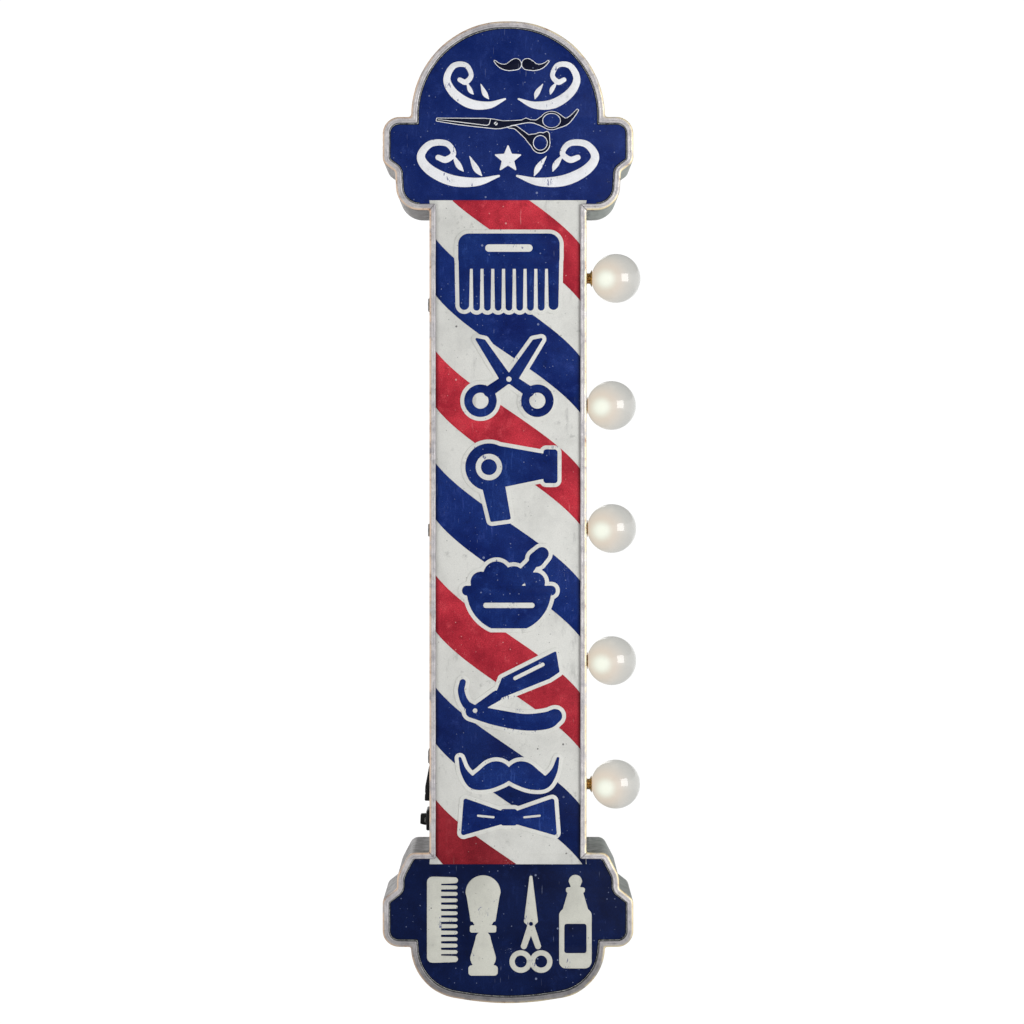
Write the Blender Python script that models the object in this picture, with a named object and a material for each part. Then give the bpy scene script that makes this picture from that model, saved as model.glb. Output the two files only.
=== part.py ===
"""Barber pole light: a two-faced sheet-metal marquee sign that hangs by one narrow side.

Sizes are in millimetres and are turned into metres as each mesh is made. X runs from the wall side
(hangers, battery door, switch) to the lamp side, Y from the front face to the back face, and Z up.
Shapes are drawn about the middle of the shaft, and the empty "sign" carries all of them so that the
world origin is the centre of the middle hanger's outer face.
"""

import math

import bmesh
import bpy
from mathutils import Matrix, Vector

MM = 0.001
GAP = 0.3  # between pieces that touch on the real object

# Casing
DEPTH = 82.5
SHEET = 0.8
HEM_WIDTH = 4.0
HEM_THICK = 1.6
HEM_ROUND = 1.2
SHAFT_HALF_WIDTH = 50.8
SHAFT_HALF_LENGTH = 208.7
LOBE_HALF_WIDTH = 81.5
HEAD_TOP = 331.6
BASE_BOTTOM = -308.8

# Corners of the outline's right half, from the top down: (x, z, corner radius)
DOME_AND_HEAD = [
    (63.0, HEAD_TOP, 61.5),
    (63.0, 269.4, 2.0),
    (LOBE_HALF_WIDTH, 269.4, 11.0),
    (LOBE_HALF_WIDTH, 239.9, 6.5),
    (73.4, 233.7, 3.0),
    (72.1, SHAFT_HALF_LENGTH, 15.5),
]
SHAFT_CORNERS = [
    (SHAFT_HALF_WIDTH, SHAFT_HALF_LENGTH, 1.5),
    (SHAFT_HALF_WIDTH, -SHAFT_HALF_LENGTH, 1.5),
]
BASE = [
    (64.2, -SHAFT_HALF_LENGTH, 6.0),
    (72.3, -224.2, 15.0),
    (72.3, -231.9, 2.5),
    (LOBE_HALF_WIDTH, -239.1, 5.5),
    (LOBE_HALF_WIDTH, -269.9, 10.5),
    (63.2, -270.2, 1.5),
    (60.8, -299.2, 34.0),
]
BASE_MIDDLE = (0.0, BASE_BOTTOM, 170.0)
ARC_STEP = math.radians(18)
MITRE = (0.0, 0.4, 0.6, 1.0)  # a shaft corner's arc, with the open mitre between the middle two
NOTCH_RADIUS = 2.0  # an inside corner this tight or tighter has its hem mitred, not bent round
NOTCH_INSIDE = 1.0  # corner radius at the inner edge of a mitred hem

# Face panels
PANEL_INSET = SHEET + GAP
PANEL_THICK = 0.8
PANEL_Y = DEPTH / 2 - HEM_THICK - GAP  # outer face

# Lamps: height on the shaft, and how far the globe's near pole stands off the wall
LAMPS = [(166.9, 4.3), (82.6, 1.3), (1.0, 1.5), (-86.7, 1.5), (-168.6, 4.1)]
GLOBE_RADIUS = 16.4
GLOBE_WALL = 1.2
GLOBE_MOUTH = 3.3
NIPPLE_RADIUS = 2.5
NIPPLE_BORE = 1.7
NIPPLE_HOLE = 2.8
NIPPLE_TAIL = 4.5
NIPPLE_INTO_GLOBE = 2.5
FERRULE_FOOT = 6.0
FERRULE_LIP = 5.6
NUT_ACROSS_FLATS = 8.0
NUT_THICK = 3.0
LED_RADIUS = 2.5
LED_FLANGE = (2.9, 1.0)  # radius and thickness
LED_LENGTH = 6.5
LED_DOME = 2.0
LED_LEG_HALF = 0.25
LED_PITCH = 2.54

# Wall side, from the top down
HANGERS = {"upper": 149.0, "middle": 0.0, "lower": -149.8}
HANGER_HEIGHT = 8.0
HANGER_LENGTH = 34.0
HANGER_SHEET = 0.8
HANGER_PROUD = 2.0
HANGER_RISE_HALF = 8.0
HANGER_RAMP = 1.6
HANGER_TOOTH = 2.6
RIVET_Y = 13.0
RIVET_RADIUS = 1.5
RIVET_HEAD = 2.3
RIVET_CROWN = 1.6
RIVET_HOLE = 1.75

BATTERY_Z = -165.5
BOX_BODY = (54.0, 22.4)  # along Y and Z
BOX_CAVITY = (52.0, 21.2)
BOX_MOUTH = 0.1  # behind the wall's outer face
BOX_DEPTH = 12.2
BOX_FLANGE = (58.0, 25.2)
BOX_FLANGE_THICK = 0.7
CELL_RADIUS = 5.2
CELL_BODY = 43.3
CELL_NUB = (1.9, 1.0)
CELL_PITCH = 10.5
CELL_DEPTH = 5.6  # centre line behind the wall's outer face
SPRING_WIRE = 0.35
SPRING_TURNS = 3.5
SPRING_LENGTH = 4.7
SPRING_RADII = (4.0, 2.5)  # at the contact plate and at the cell
CONTACT_THICK = 0.4
CONTACT_HALF = 4.2
DOOR_LENGTH = 54.6
DOOR_KNUCKLE = 0.35
DOOR_TOP = 11.2  # above BATTERY_Z
DOOR_BOTTOM = -11.1
DOOR_OUTSIDE = [
    (-3.4, -1.8),
    (-3.5, -5.6),
    (-3.1, -6.3),
    (-3.6, -7.1),
    (-3.7, DOOR_BOTTOM + 0.5),
    (-3.2, DOOR_BOTTOM),
]
TONGUE_HALF = 4.0
TONGUE_Z = (-10.4, -9.6)
TONGUE_REACH = 0.9

SWITCH_Z = -191.4
BEZEL = (24.0, 13.2, 2.9)  # along Y, Z and out from the wall
BEZEL_ROUND = 0.8
SLOT = (12.8, 8.0)
WELL_CLEARANCE = 0.2
WELL_FLOOR = SHEET + 3.3
SWITCH_BACK = SHEET + 7.0
KNOB_WIDTH = 7.0
KNOB_FOOT = SHEET + 2.6
KNOB_SIDE = [(-7.1, 3.5), (KNOB_FOOT, 3.7), (KNOB_FOOT, -3.7), (-4.2, -3.7), (-7.4, -2.9)]
KNOB_TRAVEL = 5.0
SCREW_Y = 9.3
SCREW_RADIUS = 0.9
SCREW_HEAD = (1.8, 0.9)  # radius and height
SCREW_LENGTH = 3.5  # behind the switch body's front

WIRE_RADIUS = 0.7
WIRE_X = 44.6
SIGN_OFFSET = SHAFT_HALF_WIDTH + HANGER_PROUD

FINISHES = {  # colour, roughness, metallic
    "zinc_sheet": ((0.42, 0.42, 0.41), 0.5, 0.7),
    "printed_face": ((0.04, 0.06, 0.19), 0.45, 0.0),
    "frosted_globe": ((0.86, 0.85, 0.80), 0.25, 0.0),
    "brass": ((0.55, 0.36, 0.14), 0.35, 1.0),
    "led": ((0.95, 0.88, 0.62), 0.2, 0.0),
    "bronzed_steel": ((0.30, 0.24, 0.17), 0.45, 0.9),
    "bright_steel": ((0.62, 0.62, 0.60), 0.3, 1.0),
    "black_plastic": ((0.02, 0.02, 0.02), 0.45, 0.0),
    "cell_jacket": ((0.10, 0.20, 0.12), 0.35, 0.0),
    "red_wire": ((0.55, 0.03, 0.03), 0.45, 0.0),
    "black_wire": ((0.02, 0.02, 0.02), 0.45, 0.0),
}


def clear_scene():
    for obj in list(bpy.data.objects):
        bpy.data.objects.remove(obj)


def material(name):
    found = bpy.data.materials.get(name)
    if found:
        return found
    colour, roughness, metallic = FINISHES[name]
    made = bpy.data.materials.new(name)
    made.use_nodes = True
    shader = made.node_tree.nodes["Principled BSDF"]
    shader.inputs["Base Color"].default_value = (*colour, 1.0)
    shader.inputs["Roughness"].default_value = roughness
    shader.inputs["Metallic"].default_value = metallic
    return made


def mesh_from(name, bm):
    """A mesh in metres from a bmesh in millimetres, with its faces pointing out."""
    bmesh.ops.remove_doubles(bm, verts=bm.verts, dist=1e-4)
    bmesh.ops.recalc_face_normals(bm, faces=bm.faces)
    bmesh.ops.scale(bm, vec=(MM, MM, MM), verts=bm.verts)
    mesh = bpy.data.meshes.new(name)
    bm.to_mesh(mesh)
    bm.free()
    return mesh


def add(name, mesh, finish, at=(0, 0, 0), smooth=False):
    """An object that shows this mesh or curve at a point in the sign's own frame."""
    obj = bpy.data.objects.new(name, mesh)
    bpy.context.scene.collection.objects.link(obj)
    obj.parent = bpy.data.objects["sign"]
    obj.location = Vector(at) * MM
    if not mesh.materials:
        mesh.materials.append(material(finish))
    if smooth:
        mesh.shade_smooth()
        mesh.set_sharp_from_angle(angle=math.radians(40))
    return obj


def box_mesh(name, low, high):
    low, high = Vector(low), Vector(high)
    bm = bmesh.new()
    bmesh.ops.create_cube(bm, size=1.0)
    bmesh.ops.scale(bm, vec=high - low, verts=bm.verts)
    bmesh.ops.translate(bm, vec=(low + high) / 2, verts=bm.verts)
    return mesh_from(name, bm)


def prism_mesh(name, outline, along, start, end):
    """A flat outline pushed from start to end along one axis. Its pairs are the other two axes."""
    bm = bmesh.new()
    others = [axis for axis in range(3) if axis != along]
    verts = []
    for pair in outline:
        point = Vector((start, start, start))
        point[others[0]], point[others[1]] = pair
        verts.append(bm.verts.new(point))
    face = bm.faces.new(verts)
    grown = bmesh.ops.extrude_face_region(bm, geom=[face])
    push = Vector((0, 0, 0))
    push[along] = end - start
    moved = [item for item in grown["geom"] if isinstance(item, bmesh.types.BMVert)]
    bmesh.ops.translate(bm, vec=push, verts=moved)
    return mesh_from(name, bm)


def turned_mesh(name, profile, axis, steps, closed=True):
    """A profile of (distance along the axis, radius), spun. A closed profile leaves a bore."""
    bm = bmesh.new()
    across = Vector((0, 0, 1))
    verts = [bm.verts.new(Vector(axis) * along + across * radius) for along, radius in profile]
    pairs = list(zip(verts, verts[1:]))
    if closed:
        pairs.append((verts[-1], verts[0]))
    edges = [bm.edges.new(pair) for pair in pairs]
    bmesh.ops.spin(
        bm,
        geom=verts + edges,
        cent=(0, 0, 0),
        axis=axis,
        angle=math.tau,
        steps=steps,
        use_merge=True,
    )
    bmesh.ops.dissolve_degenerate(bm, dist=1e-5, edges=bm.edges)
    return mesh_from(name, bm)


def rod_mesh(name, start, end, radius, steps):
    """A plain rod along X."""
    profile = [(start, 0), (start, radius), (end, radius), (end, 0)]
    return turned_mesh(name, profile, (1, 0, 0), steps, closed=False)


def swept_mesh(name, loops):
    """A solid through a row of closed loops, with a flat cap on each end."""
    bm = bmesh.new()
    rings = [[bm.verts.new(point) for point in loop] for loop in loops]
    count = len(rings[0])
    for ring, following in zip(rings, rings[1:]):
        for i in range(count):
            j = (i + 1) % count
            bm.faces.new((ring[i], ring[j], following[j], following[i]))
    bm.faces.new(rings[0])
    bm.faces.new(reversed(rings[-1]))
    return mesh_from(name, bm)


def coil_mesh(name, points, radius, sides):
    """A round wire through points that lie close together."""
    points = [Vector(p) for p in points]
    ahead = (points[1] - points[0]).normalized()
    across = ahead.orthogonal().normalized()
    loops = []
    for i, point in enumerate(points):
        nearby = points[min(i + 1, len(points) - 1)] - points[max(i - 1, 0)]
        turn = ahead.rotation_difference(nearby.normalized())
        across = (turn @ across).normalized()
        ahead = nearby.normalized()
        other = ahead.cross(across)
        angles = [math.tau * k / sides for k in range(sides)]
        loops.append([point + (across * math.cos(a) + other * math.sin(a)) * radius for a in angles])
    return swept_mesh(name, loops)


def boolean(obj, tool, operation="DIFFERENCE"):
    modifier = obj.modifiers.new(tool.name, "BOOLEAN")
    modifier.operation = operation
    modifier.solver = "EXACT"
    modifier.object = tool
    return obj


def helper(name, mesh, at=(0, 0, 0)):
    """A cutter or joined shape that only a Boolean reads."""
    obj = bpy.data.objects.new(name, mesh)
    bpy.context.scene.collection.objects.link(obj)
    obj.parent = bpy.data.objects["sign"]
    obj.location = Vector(at) * MM
    obj.hide_render = True
    obj.display_type = "WIRE"
    return obj


def cut(obj, mesh, at=(0, 0, 0)):
    return boolean(obj, helper("cut_" + obj.name, mesh, at))


def join(obj, mesh, at=(0, 0, 0)):
    return boolean(obj, helper("join_" + obj.name, mesh, at), "UNION")


# Outline and casing


def left_of(direction):
    return Vector((-direction.y, direction.x))


def corner_samples(before, corner, after, fractions=None):
    """(point, inward) along one rounded corner of an outline that runs clockwise.

    A point's place at any depth of the hem is point + inward * depth. In a tight inside corner the
    hem's two halves meet in a mitre, so there the inward vectors lean towards it.
    """
    here, radius = Vector(corner[:2]), corner[2]
    arriving = (here - Vector(before[:2])).normalized()
    leaving = (Vector(after[:2]) - here).normalized()
    turn = math.atan2(arriving.x * leaving.y - arriving.y * leaving.x, arriving.dot(leaving))
    side = math.copysign(1.0, turn)
    start = here - arriving * radius * math.tan(abs(turn) / 2)
    centre = start + left_of(arriving) * side * radius
    mitre = -(left_of(arriving) + left_of(leaving)) / (1 + arriving.dot(leaving))
    if fractions is None:
        pieces = max(2, math.ceil(abs(turn) / ARC_STEP))
        fractions = [i / pieces for i in range(pieces + 1)]
    samples = []
    for fraction in fractions:
        heading = Matrix.Rotation(turn * fraction, 2) @ arriving
        normal = -left_of(heading)
        point = centre + normal * side * radius
        inward = normal
        if side > 0 and radius <= NOTCH_RADIUS:
            inside = here + mitre * HEM_WIDTH + (normal - mitre) * NOTCH_INSIDE
            inward = (inside - point) / HEM_WIDTH
        samples.append((point, inward))
    return samples


def mirrored(corners):
    return [(-x, z, radius) for x, z, radius in reversed(corners)]


def outline_runs():
    """The outline in four runs, split at the open mitres: head, right wall, base and left wall."""
    right = DOME_AND_HEAD + SHAFT_CORNERS + BASE
    corners = right + [BASE_MIDDLE] + mirrored(right)
    mitred = SHAFT_CORNERS + mirrored(SHAFT_CORNERS)
    runs = [[]]
    for i, corner in enumerate(corners):
        following = corners[(i + 1) % len(corners)]
        if corner in mitred:
            samples = corner_samples(corners[i - 1], corner, following, MITRE)
            runs[-1] += samples[:2]
            runs.append(samples[2:])
        else:
            runs[-1] += corner_samples(corners[i - 1], corner, following)
    runs[0] = runs.pop() + runs[0]
    return runs


def channel_profile():
    """The casing strip's section as (distance inward, y): a web with a hem at each face."""
    face = DEPTH / 2
    middle = HEM_ROUND * (1 - math.sqrt(0.5))
    half = [
        (SHEET, face - HEM_THICK),
        (HEM_WIDTH, face - HEM_THICK),
        (HEM_WIDTH, face - HEM_THICK / 2),
        (HEM_WIDTH - HEM_THICK / 2, face),
        (HEM_ROUND, face),
        (middle, face - middle),
        (0.0, face - HEM_ROUND),
    ]
    return half + [(inward, -y) for inward, y in reversed(half)]


def strip_loops(run):
    profile = channel_profile()
    loops = []
    for point, inward in run:
        loops.append([(point.x + inward.x * n, y, point.y + inward.y * n) for n, y in profile])
    return loops


def panel_mesh(runs):
    outline = [point + inward * PANEL_INSET for run in runs for point, inward in run]
    return prism_mesh("face_panel", outline, 1, 0.0, PANEL_THICK)


def casing():
    head, right, base, left = outline_runs()
    add("head_band", swept_mesh("head_band", strip_loops(head)), "zinc_sheet")
    add("base_band", swept_mesh("base_band", strip_loops(base)), "zinc_sheet")
    lamp_wall = add("lamp_side_wall", swept_mesh("lamp_side_wall", strip_loops(right)), "zinc_sheet")
    left_wall = swept_mesh("hanger_side_wall", strip_loops(left))
    hanger_wall = add("hanger_side_wall", left_wall, "zinc_sheet")
    panel = panel_mesh([head, right, base, left])
    add("front_panel", panel, "printed_face", (0, -PANEL_Y, 0))
    add("back_panel", panel, "printed_face", (0, PANEL_Y - PANEL_THICK, 0))

    through = 3 * SHEET
    hole = rod_mesh("lamp_hole", -through, through, NIPPLE_HOLE, 16)
    for height, _ in LAMPS:
        cut(lamp_wall, hole, (SHAFT_HALF_WIDTH, 0, height))
    rivet_hole = rod_mesh("rivet_hole", -through, through, RIVET_HOLE, 12)
    for height in HANGERS.values():
        for side in (-RIVET_Y, RIVET_Y):
            cut(hanger_wall, rivet_hole, (-SHAFT_HALF_WIDTH, side, height))
    for size, height in ((BOX_BODY, BATTERY_Z), (SLOT, SWITCH_Z)):
        half_y, half_z = size[0] / 2 + GAP, size[1] / 2 + GAP
        opening = box_mesh("wall_opening", (-through, -half_y, -half_z), (through, half_y, half_z))
        cut(hanger_wall, opening, (-SHAFT_HALF_WIDTH, 0, height))
    screw_hole = rod_mesh("screw_hole", -through, through, SCREW_RADIUS + GAP, 12)
    for side in (-SCREW_Y, SCREW_Y):
        cut(hanger_wall, screw_hole, (-SHAFT_HALF_WIDTH, side, SWITCH_Z))


# Lamps. Their shapes are drawn from the wall's outer face, outward along +X.


def globe_mesh(standoff):
    centre = standoff + GLOBE_RADIUS
    inner = GLOBE_RADIUS - GLOBE_WALL
    rings = 7
    profile = []
    for radius, order in ((GLOBE_RADIUS, range(rings + 1)), (inner, range(rings, -1, -1))):
        mouth = math.asin(GLOBE_MOUTH / radius)
        for i in order:
            angle = mouth + (math.pi - mouth) * i / rings
            ring = 0.0 if i == rings else radius * math.sin(angle)
            profile.append((centre - radius * math.cos(angle), ring))
    return turned_mesh("globe", profile, (1, 0, 0), 16)


def ferrule_mesh(standoff):
    """A brass spool: a flare on the wall, a neck, and a cup that meets the globe."""
    sphere = GLOBE_RADIUS + GAP
    centre = standoff + GLOBE_RADIUS
    end = centre - math.sqrt(sphere**2 - FERRULE_LIP**2) - 0.1
    length = end - GAP
    neck = 3.7 if standoff > 3 else 4.1
    shape = [(0.0, FERRULE_FOOT), (0.12, FERRULE_FOOT - 0.1), (0.34, 4.4), (0.48, neck)]
    shape += [(0.62, neck), (0.82, 4.6), (1.0, FERRULE_LIP)]
    outside = [(GAP + length * share, radius) for share, radius in shape]
    seat = centre - math.sqrt(sphere**2 - NIPPLE_HOLE**2) - 0.1
    inside = [(end - 0.15, FERRULE_LIP - 0.5), (seat, NIPPLE_HOLE), (GAP, NIPPLE_HOLE)]
    return turned_mesh("ferrule", outside + inside, (1, 0, 0), 12)


def nipple_mesh(length):
    profile = [
        (-NIPPLE_TAIL, NIPPLE_BORE),
        (-NIPPLE_TAIL, NIPPLE_RADIUS - 0.2),
        (-NIPPLE_TAIL + 0.2, NIPPLE_RADIUS),
        (length, NIPPLE_RADIUS),
        (length, NIPPLE_BORE),
    ]
    return turned_mesh("nipple", profile, (1, 0, 0), 12)


def nut_mesh():
    start = -SHEET - GAP - NUT_THICK
    corner = NUT_ACROSS_FLATS / math.sqrt(3)
    angles = [math.tau * i / 6 for i in range(6)]
    hexagon = [(corner * math.cos(angle), corner * math.sin(angle)) for angle in angles]
    return prism_mesh("lamp_nut", hexagon, 0, start, start + NUT_THICK)


def led_mesh():
    flange_radius, flange_thick = LED_FLANGE
    profile = [
        (0, 0),
        (0, flange_radius),
        (flange_thick, flange_radius),
        (flange_thick, LED_RADIUS),
        (LED_LENGTH - LED_DOME, LED_RADIUS),
        (LED_LENGTH - LED_DOME * 0.3, LED_RADIUS * 0.68),
        (LED_LENGTH, 0),
    ]
    return turned_mesh("led", profile, (1, 0, 0), 12, closed=False)


def lamps():
    nut, led = nut_mesh(), led_mesh()
    nut_bore = rod_mesh("nut_bore", -SHEET - 3 * NUT_THICK, 2, NIPPLE_HOLE, 14)
    for number, (height, standoff) in enumerate(LAMPS, start=1):
        at = Vector((SHAFT_HALF_WIDTH, 0, height))
        nipple_end = standoff + GLOBE_WALL + NIPPLE_INTO_GLOBE
        add(f"globe_{number}", globe_mesh(standoff), "frosted_globe", at, smooth=True)
        add(f"ferrule_{number}", ferrule_mesh(standoff), "brass", at, smooth=True)
        add(f"nipple_{number}", nipple_mesh(nipple_end), "brass", at, smooth=True)
        cut(add(f"lamp_nut_{number}", nut, "brass", at), nut_bore, at)
        led_at = at + Vector((nipple_end + GAP, 0, 0))
        lamp = add(f"led_{number}", led, "led", led_at)
        leg_end = WIRE_X + WIRE_RADIUS + GAP - led_at.x
        for side in (-LED_PITCH / 2, LED_PITCH / 2):
            low = (leg_end, side - LED_LEG_HALF, -LED_LEG_HALF)
            high = (LED_FLANGE[1] / 2, side + LED_LEG_HALF, LED_LEG_HALF)
            join(lamp, box_mesh("led_leg", low, high), led_at)


# Wall side. These shapes are drawn from the wall's outer face, with out from the wall as -X.


def hanger_mesh():
    """A strip with a raised middle, as (x, y) pushed up in Z."""
    back, front = -GAP, -GAP - HANGER_SHEET
    raised_front = -HANGER_PROUD
    raised_back = raised_front + HANGER_SHEET
    end, rise = HANGER_LENGTH / 2, HANGER_RISE_HALF
    foot = rise + HANGER_RAMP
    near = [(back, end), (back, foot), (raised_back, rise)]
    far = [(raised_front, rise), (front, foot), (front, end)]
    outline = near + [(x, -y) for x, y in reversed(near)]
    outline += [(x, -y) for x, y in reversed(far)] + far
    return prism_mesh("hanger", outline, 2, -HANGER_HEIGHT / 2, HANGER_HEIGHT / 2)


def teeth_mesh():
    """The notches under the raised middle, as (y, z) pushed through in X."""
    low = -HANGER_HEIGHT / 2
    count = int(2 * (HANGER_RISE_HALF - 1) / HANGER_TOOTH)
    half = count * HANGER_TOOTH / 2
    outline = [(half, low - 1), (-half, low - 1)]
    for i in range(count):
        left = -half + i * HANGER_TOOTH
        outline += [(left, low - 0.2), (left + HANGER_TOOTH / 2, low + HANGER_TOOTH / 2)]
    outline.append((half, low - 0.2))
    return prism_mesh("teeth", outline, 0, -2 * HANGER_PROUD, HANGER_PROUD)


def rivet_mesh():
    under_head = -GAP - HANGER_SHEET - 0.2
    top = -HANGER_PROUD + 0.1
    inner_face = SHEET + 0.2
    inner_end = inner_face + 0.9
    profile = [
        (top, 0),
        (top, RIVET_CROWN),
        (under_head, RIVET_HEAD),
        (under_head, RIVET_RADIUS),
        (inner_face, RIVET_RADIUS),
        (inner_face, RIVET_HEAD),
        (inner_end, RIVET_CROWN),
        (inner_end, 0),
    ]
    return turned_mesh("rivet", profile, (1, 0, 0), 10, closed=False)


def hangers():
    hanger, teeth, rivet = hanger_mesh(), teeth_mesh(), rivet_mesh()
    hole = rod_mesh("hanger_hole", -2 * HANGER_PROUD, SHEET, RIVET_HOLE, 12)
    for place, height in HANGERS.items():
        at = Vector((-SHAFT_HALF_WIDTH, 0, height))
        plate = add(f"hanger_{place}", hanger, "bronzed_steel", at)
        cut(plate, teeth, at)
        for side, y in (("front", -RIVET_Y), ("back", RIVET_Y)):
            rivet_at = at + Vector((0, y, 0))
            cut(plate, hole, rivet_at)
            add(f"rivet_{place}_{side}", rivet, "bright_steel", rivet_at, smooth=True)


def battery_box(at):
    """A tray pushed through the wall from inside, with its flange behind the sheet."""
    body_y, body_z = BOX_BODY[0] / 2, BOX_BODY[1] / 2
    flange_y, flange_z = BOX_FLANGE[0] / 2, BOX_FLANGE[1] / 2
    cavity_y, cavity_z = BOX_CAVITY[0] / 2, BOX_CAVITY[1] / 2
    front = SHEET + GAP
    back = front + BOX_FLANGE_THICK
    flange = box_mesh("box_flange", (front, -flange_y, -flange_z), (back, flange_y, flange_z))
    body = box_mesh("box_body", (BOX_MOUTH, -body_y, -body_z), (BOX_DEPTH, body_y, body_z))
    floor = BOX_DEPTH - 1
    cavity = box_mesh("box_cavity", (-1, -cavity_y, -cavity_z), (floor, cavity_y, cavity_z))
    box = add("battery_box", flange, "black_plastic", at)
    join(box, body, at)
    cut(box, cavity, at)


def battery_door(at):
    """A wedge that hangs on its top edge, with a finger lip below. Its origin is the hinge line."""
    inner = -GAP
    axis = Vector((inner - DOOR_KNUCKLE, 0, DOOR_TOP - DOOR_KNUCKLE))
    arc = [math.radians(a) for a in (0, 45, 90, 135, 180)]
    outline = [(DOOR_KNUCKLE * math.cos(a), DOOR_KNUCKLE * math.sin(a)) for a in arc]
    outline += [(x - axis.x, z - axis.z) for x, z in DOOR_OUTSIDE]
    outline.append((DOOR_KNUCKLE, DOOR_BOTTOM - axis.z))
    mesh = prism_mesh("battery_door", outline, 1, -DOOR_LENGTH / 2, DOOR_LENGTH / 2)
    door = add("battery_door", mesh, "black_plastic", at + axis)
    tongue_low = Vector((inner - 0.2, -TONGUE_HALF, TONGUE_Z[0])) - axis
    tongue_high = Vector((TONGUE_REACH, TONGUE_HALF, TONGUE_Z[1])) - axis
    join(door, box_mesh("door_tongue", tongue_low, tongue_high), at + axis)


def cell_mesh():
    """An AAA cell along +Y, from its flat end at 0 to the tip of its nub."""
    nub_radius, nub_length = CELL_NUB
    profile = [
        (0, 0),
        (0, CELL_RADIUS - 0.4),
        (0.4, CELL_RADIUS),
        (CELL_BODY - 0.4, CELL_RADIUS),
        (CELL_BODY, CELL_RADIUS - 0.4),
        (CELL_BODY, nub_radius),
        (CELL_BODY + nub_length, nub_radius),
        (CELL_BODY + nub_length, 0),
    ]
    return turned_mesh("cell", profile, (0, 1, 0), 16, closed=False)


def spring_mesh():
    """A conical battery spring along +Y, wide at the contact plate and narrow at the cell."""
    per_turn = 9
    count = int(SPRING_TURNS * per_turn)
    wide, narrow = SPRING_RADII
    points = []
    for i in range(count + 1):
        share, angle = i / count, math.tau * i / per_turn
        radius = wide + (narrow - wide) * share
        along = SPRING_WIRE + SPRING_LENGTH * share
        points.append((radius * math.cos(angle), along, radius * math.sin(angle)))
    return coil_mesh("battery_spring", points, SPRING_WIRE, 5)


def battery_contents(at):
    """Two cells that face opposite ways, joined at the back end by the bridge contact."""
    end = BOX_CAVITY[0] / 2 - GAP
    tip = end - CONTACT_THICK - GAP
    flat_end = tip - CELL_BODY - CELL_NUB[1]
    upper = at + Vector((CELL_DEPTH, 0, CELL_PITCH / 2))
    lower = at + Vector((CELL_DEPTH, 0, -CELL_PITCH / 2))
    cell, spring = cell_mesh(), spring_mesh()
    add("cell_lower", cell, "cell_jacket", lower + Vector((0, flat_end, 0)), smooth=True)
    turned_cell = add("cell_upper", cell, "cell_jacket", upper - Vector((0, flat_end, 0)), smooth=True)
    turned_cell.rotation_euler.z = math.pi
    add("battery_spring_lower", spring, "bright_steel", lower - Vector((0, tip, 0)))
    turned_spring = add("battery_spring_upper", spring, "bright_steel", upper + Vector((0, tip, 0)))
    turned_spring.rotation_euler.z = math.pi

    half = CONTACT_HALF
    reach = CELL_PITCH / 2 + half
    low, high = (-half, end - CONTACT_THICK, -reach), (half, end, reach)
    middle = at + Vector((CELL_DEPTH, 0, 0))
    add("bridge_contact", box_mesh("bridge_contact", low, high), "bright_steel", middle)
    single = box_mesh("single_contact", (-half, -end, -half), (half, -end + CONTACT_THICK, half))
    add("positive_contact", single, "bright_steel", upper)
    add("negative_contact", single, "bright_steel", lower)


def screw_mesh(head_face, end):
    head_radius, head_height = SCREW_HEAD
    profile = [
        (head_face - head_height, 0),
        (head_face - head_height, head_radius - 0.6),
        (head_face - head_height / 2, head_radius),
        (head_face, head_radius),
        (head_face, SCREW_RADIUS),
        (end, SCREW_RADIUS),
        (end, 0),
    ]
    return turned_mesh("switch_screw", profile, (1, 0, 0), 10, closed=False)


def switch(at):
    half_y, half_z, proud = BEZEL[0] / 2, BEZEL[1] / 2, BEZEL[2]
    slot_y, slot_z = SLOT[0] / 2, SLOT[1] / 2
    bezel_front = -proud - GAP
    block = box_mesh("switch_bezel", (bezel_front, -half_y, -half_z), (-GAP, half_y, half_z))
    bezel = add("switch_bezel", block, "black_plastic", at)
    rounding = bezel.modifiers.new("rounding", "BEVEL")
    rounding.width = BEZEL_ROUND * MM
    rounding.segments = 2
    rounding.limit_method = "ANGLE"
    cut(bezel, box_mesh("switch_slot", (2 * bezel_front, -slot_y, -slot_z), (2, slot_y, slot_z)), at)

    front, side_z = SHEET + GAP, half_z - 0.4
    block = box_mesh("switch_body", (front, -half_y, -side_z), (SWITCH_BACK, half_y, side_z))
    body = add("switch_body", block, "black_plastic", at)
    well_y, well_z = slot_y + WELL_CLEARANCE, slot_z + WELL_CLEARANCE
    cut(body, box_mesh("switch_well", (0, -well_y, -well_z), (WELL_FLOOR, well_y, well_z)), at)

    # The knob's origin is the middle of its foot at one end of its travel.
    knob = prism_mesh("switch_knob", KNOB_SIDE, 1, -KNOB_WIDTH / 2, KNOB_WIDTH / 2)
    add("switch_knob", knob, "black_plastic", at + Vector((0, -KNOB_TRAVEL / 2, 0)))

    screw_end = front + SCREW_LENGTH
    screw = screw_mesh(bezel_front - 0.2, screw_end)
    hole = rod_mesh("screw_clearance", 2 * bezel_front, screw_end + 0.5, SCREW_RADIUS + 0.25, 10)
    for side, y in (("front", -SCREW_Y), ("back", SCREW_Y)):
        screw_at = at + Vector((0, y, 0))
        add(f"switch_screw_{side}", screw, "bright_steel", screw_at, smooth=True)
        cut(bezel, hole, screw_at)
        cut(body, hole, screw_at)


# Wiring


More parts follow.
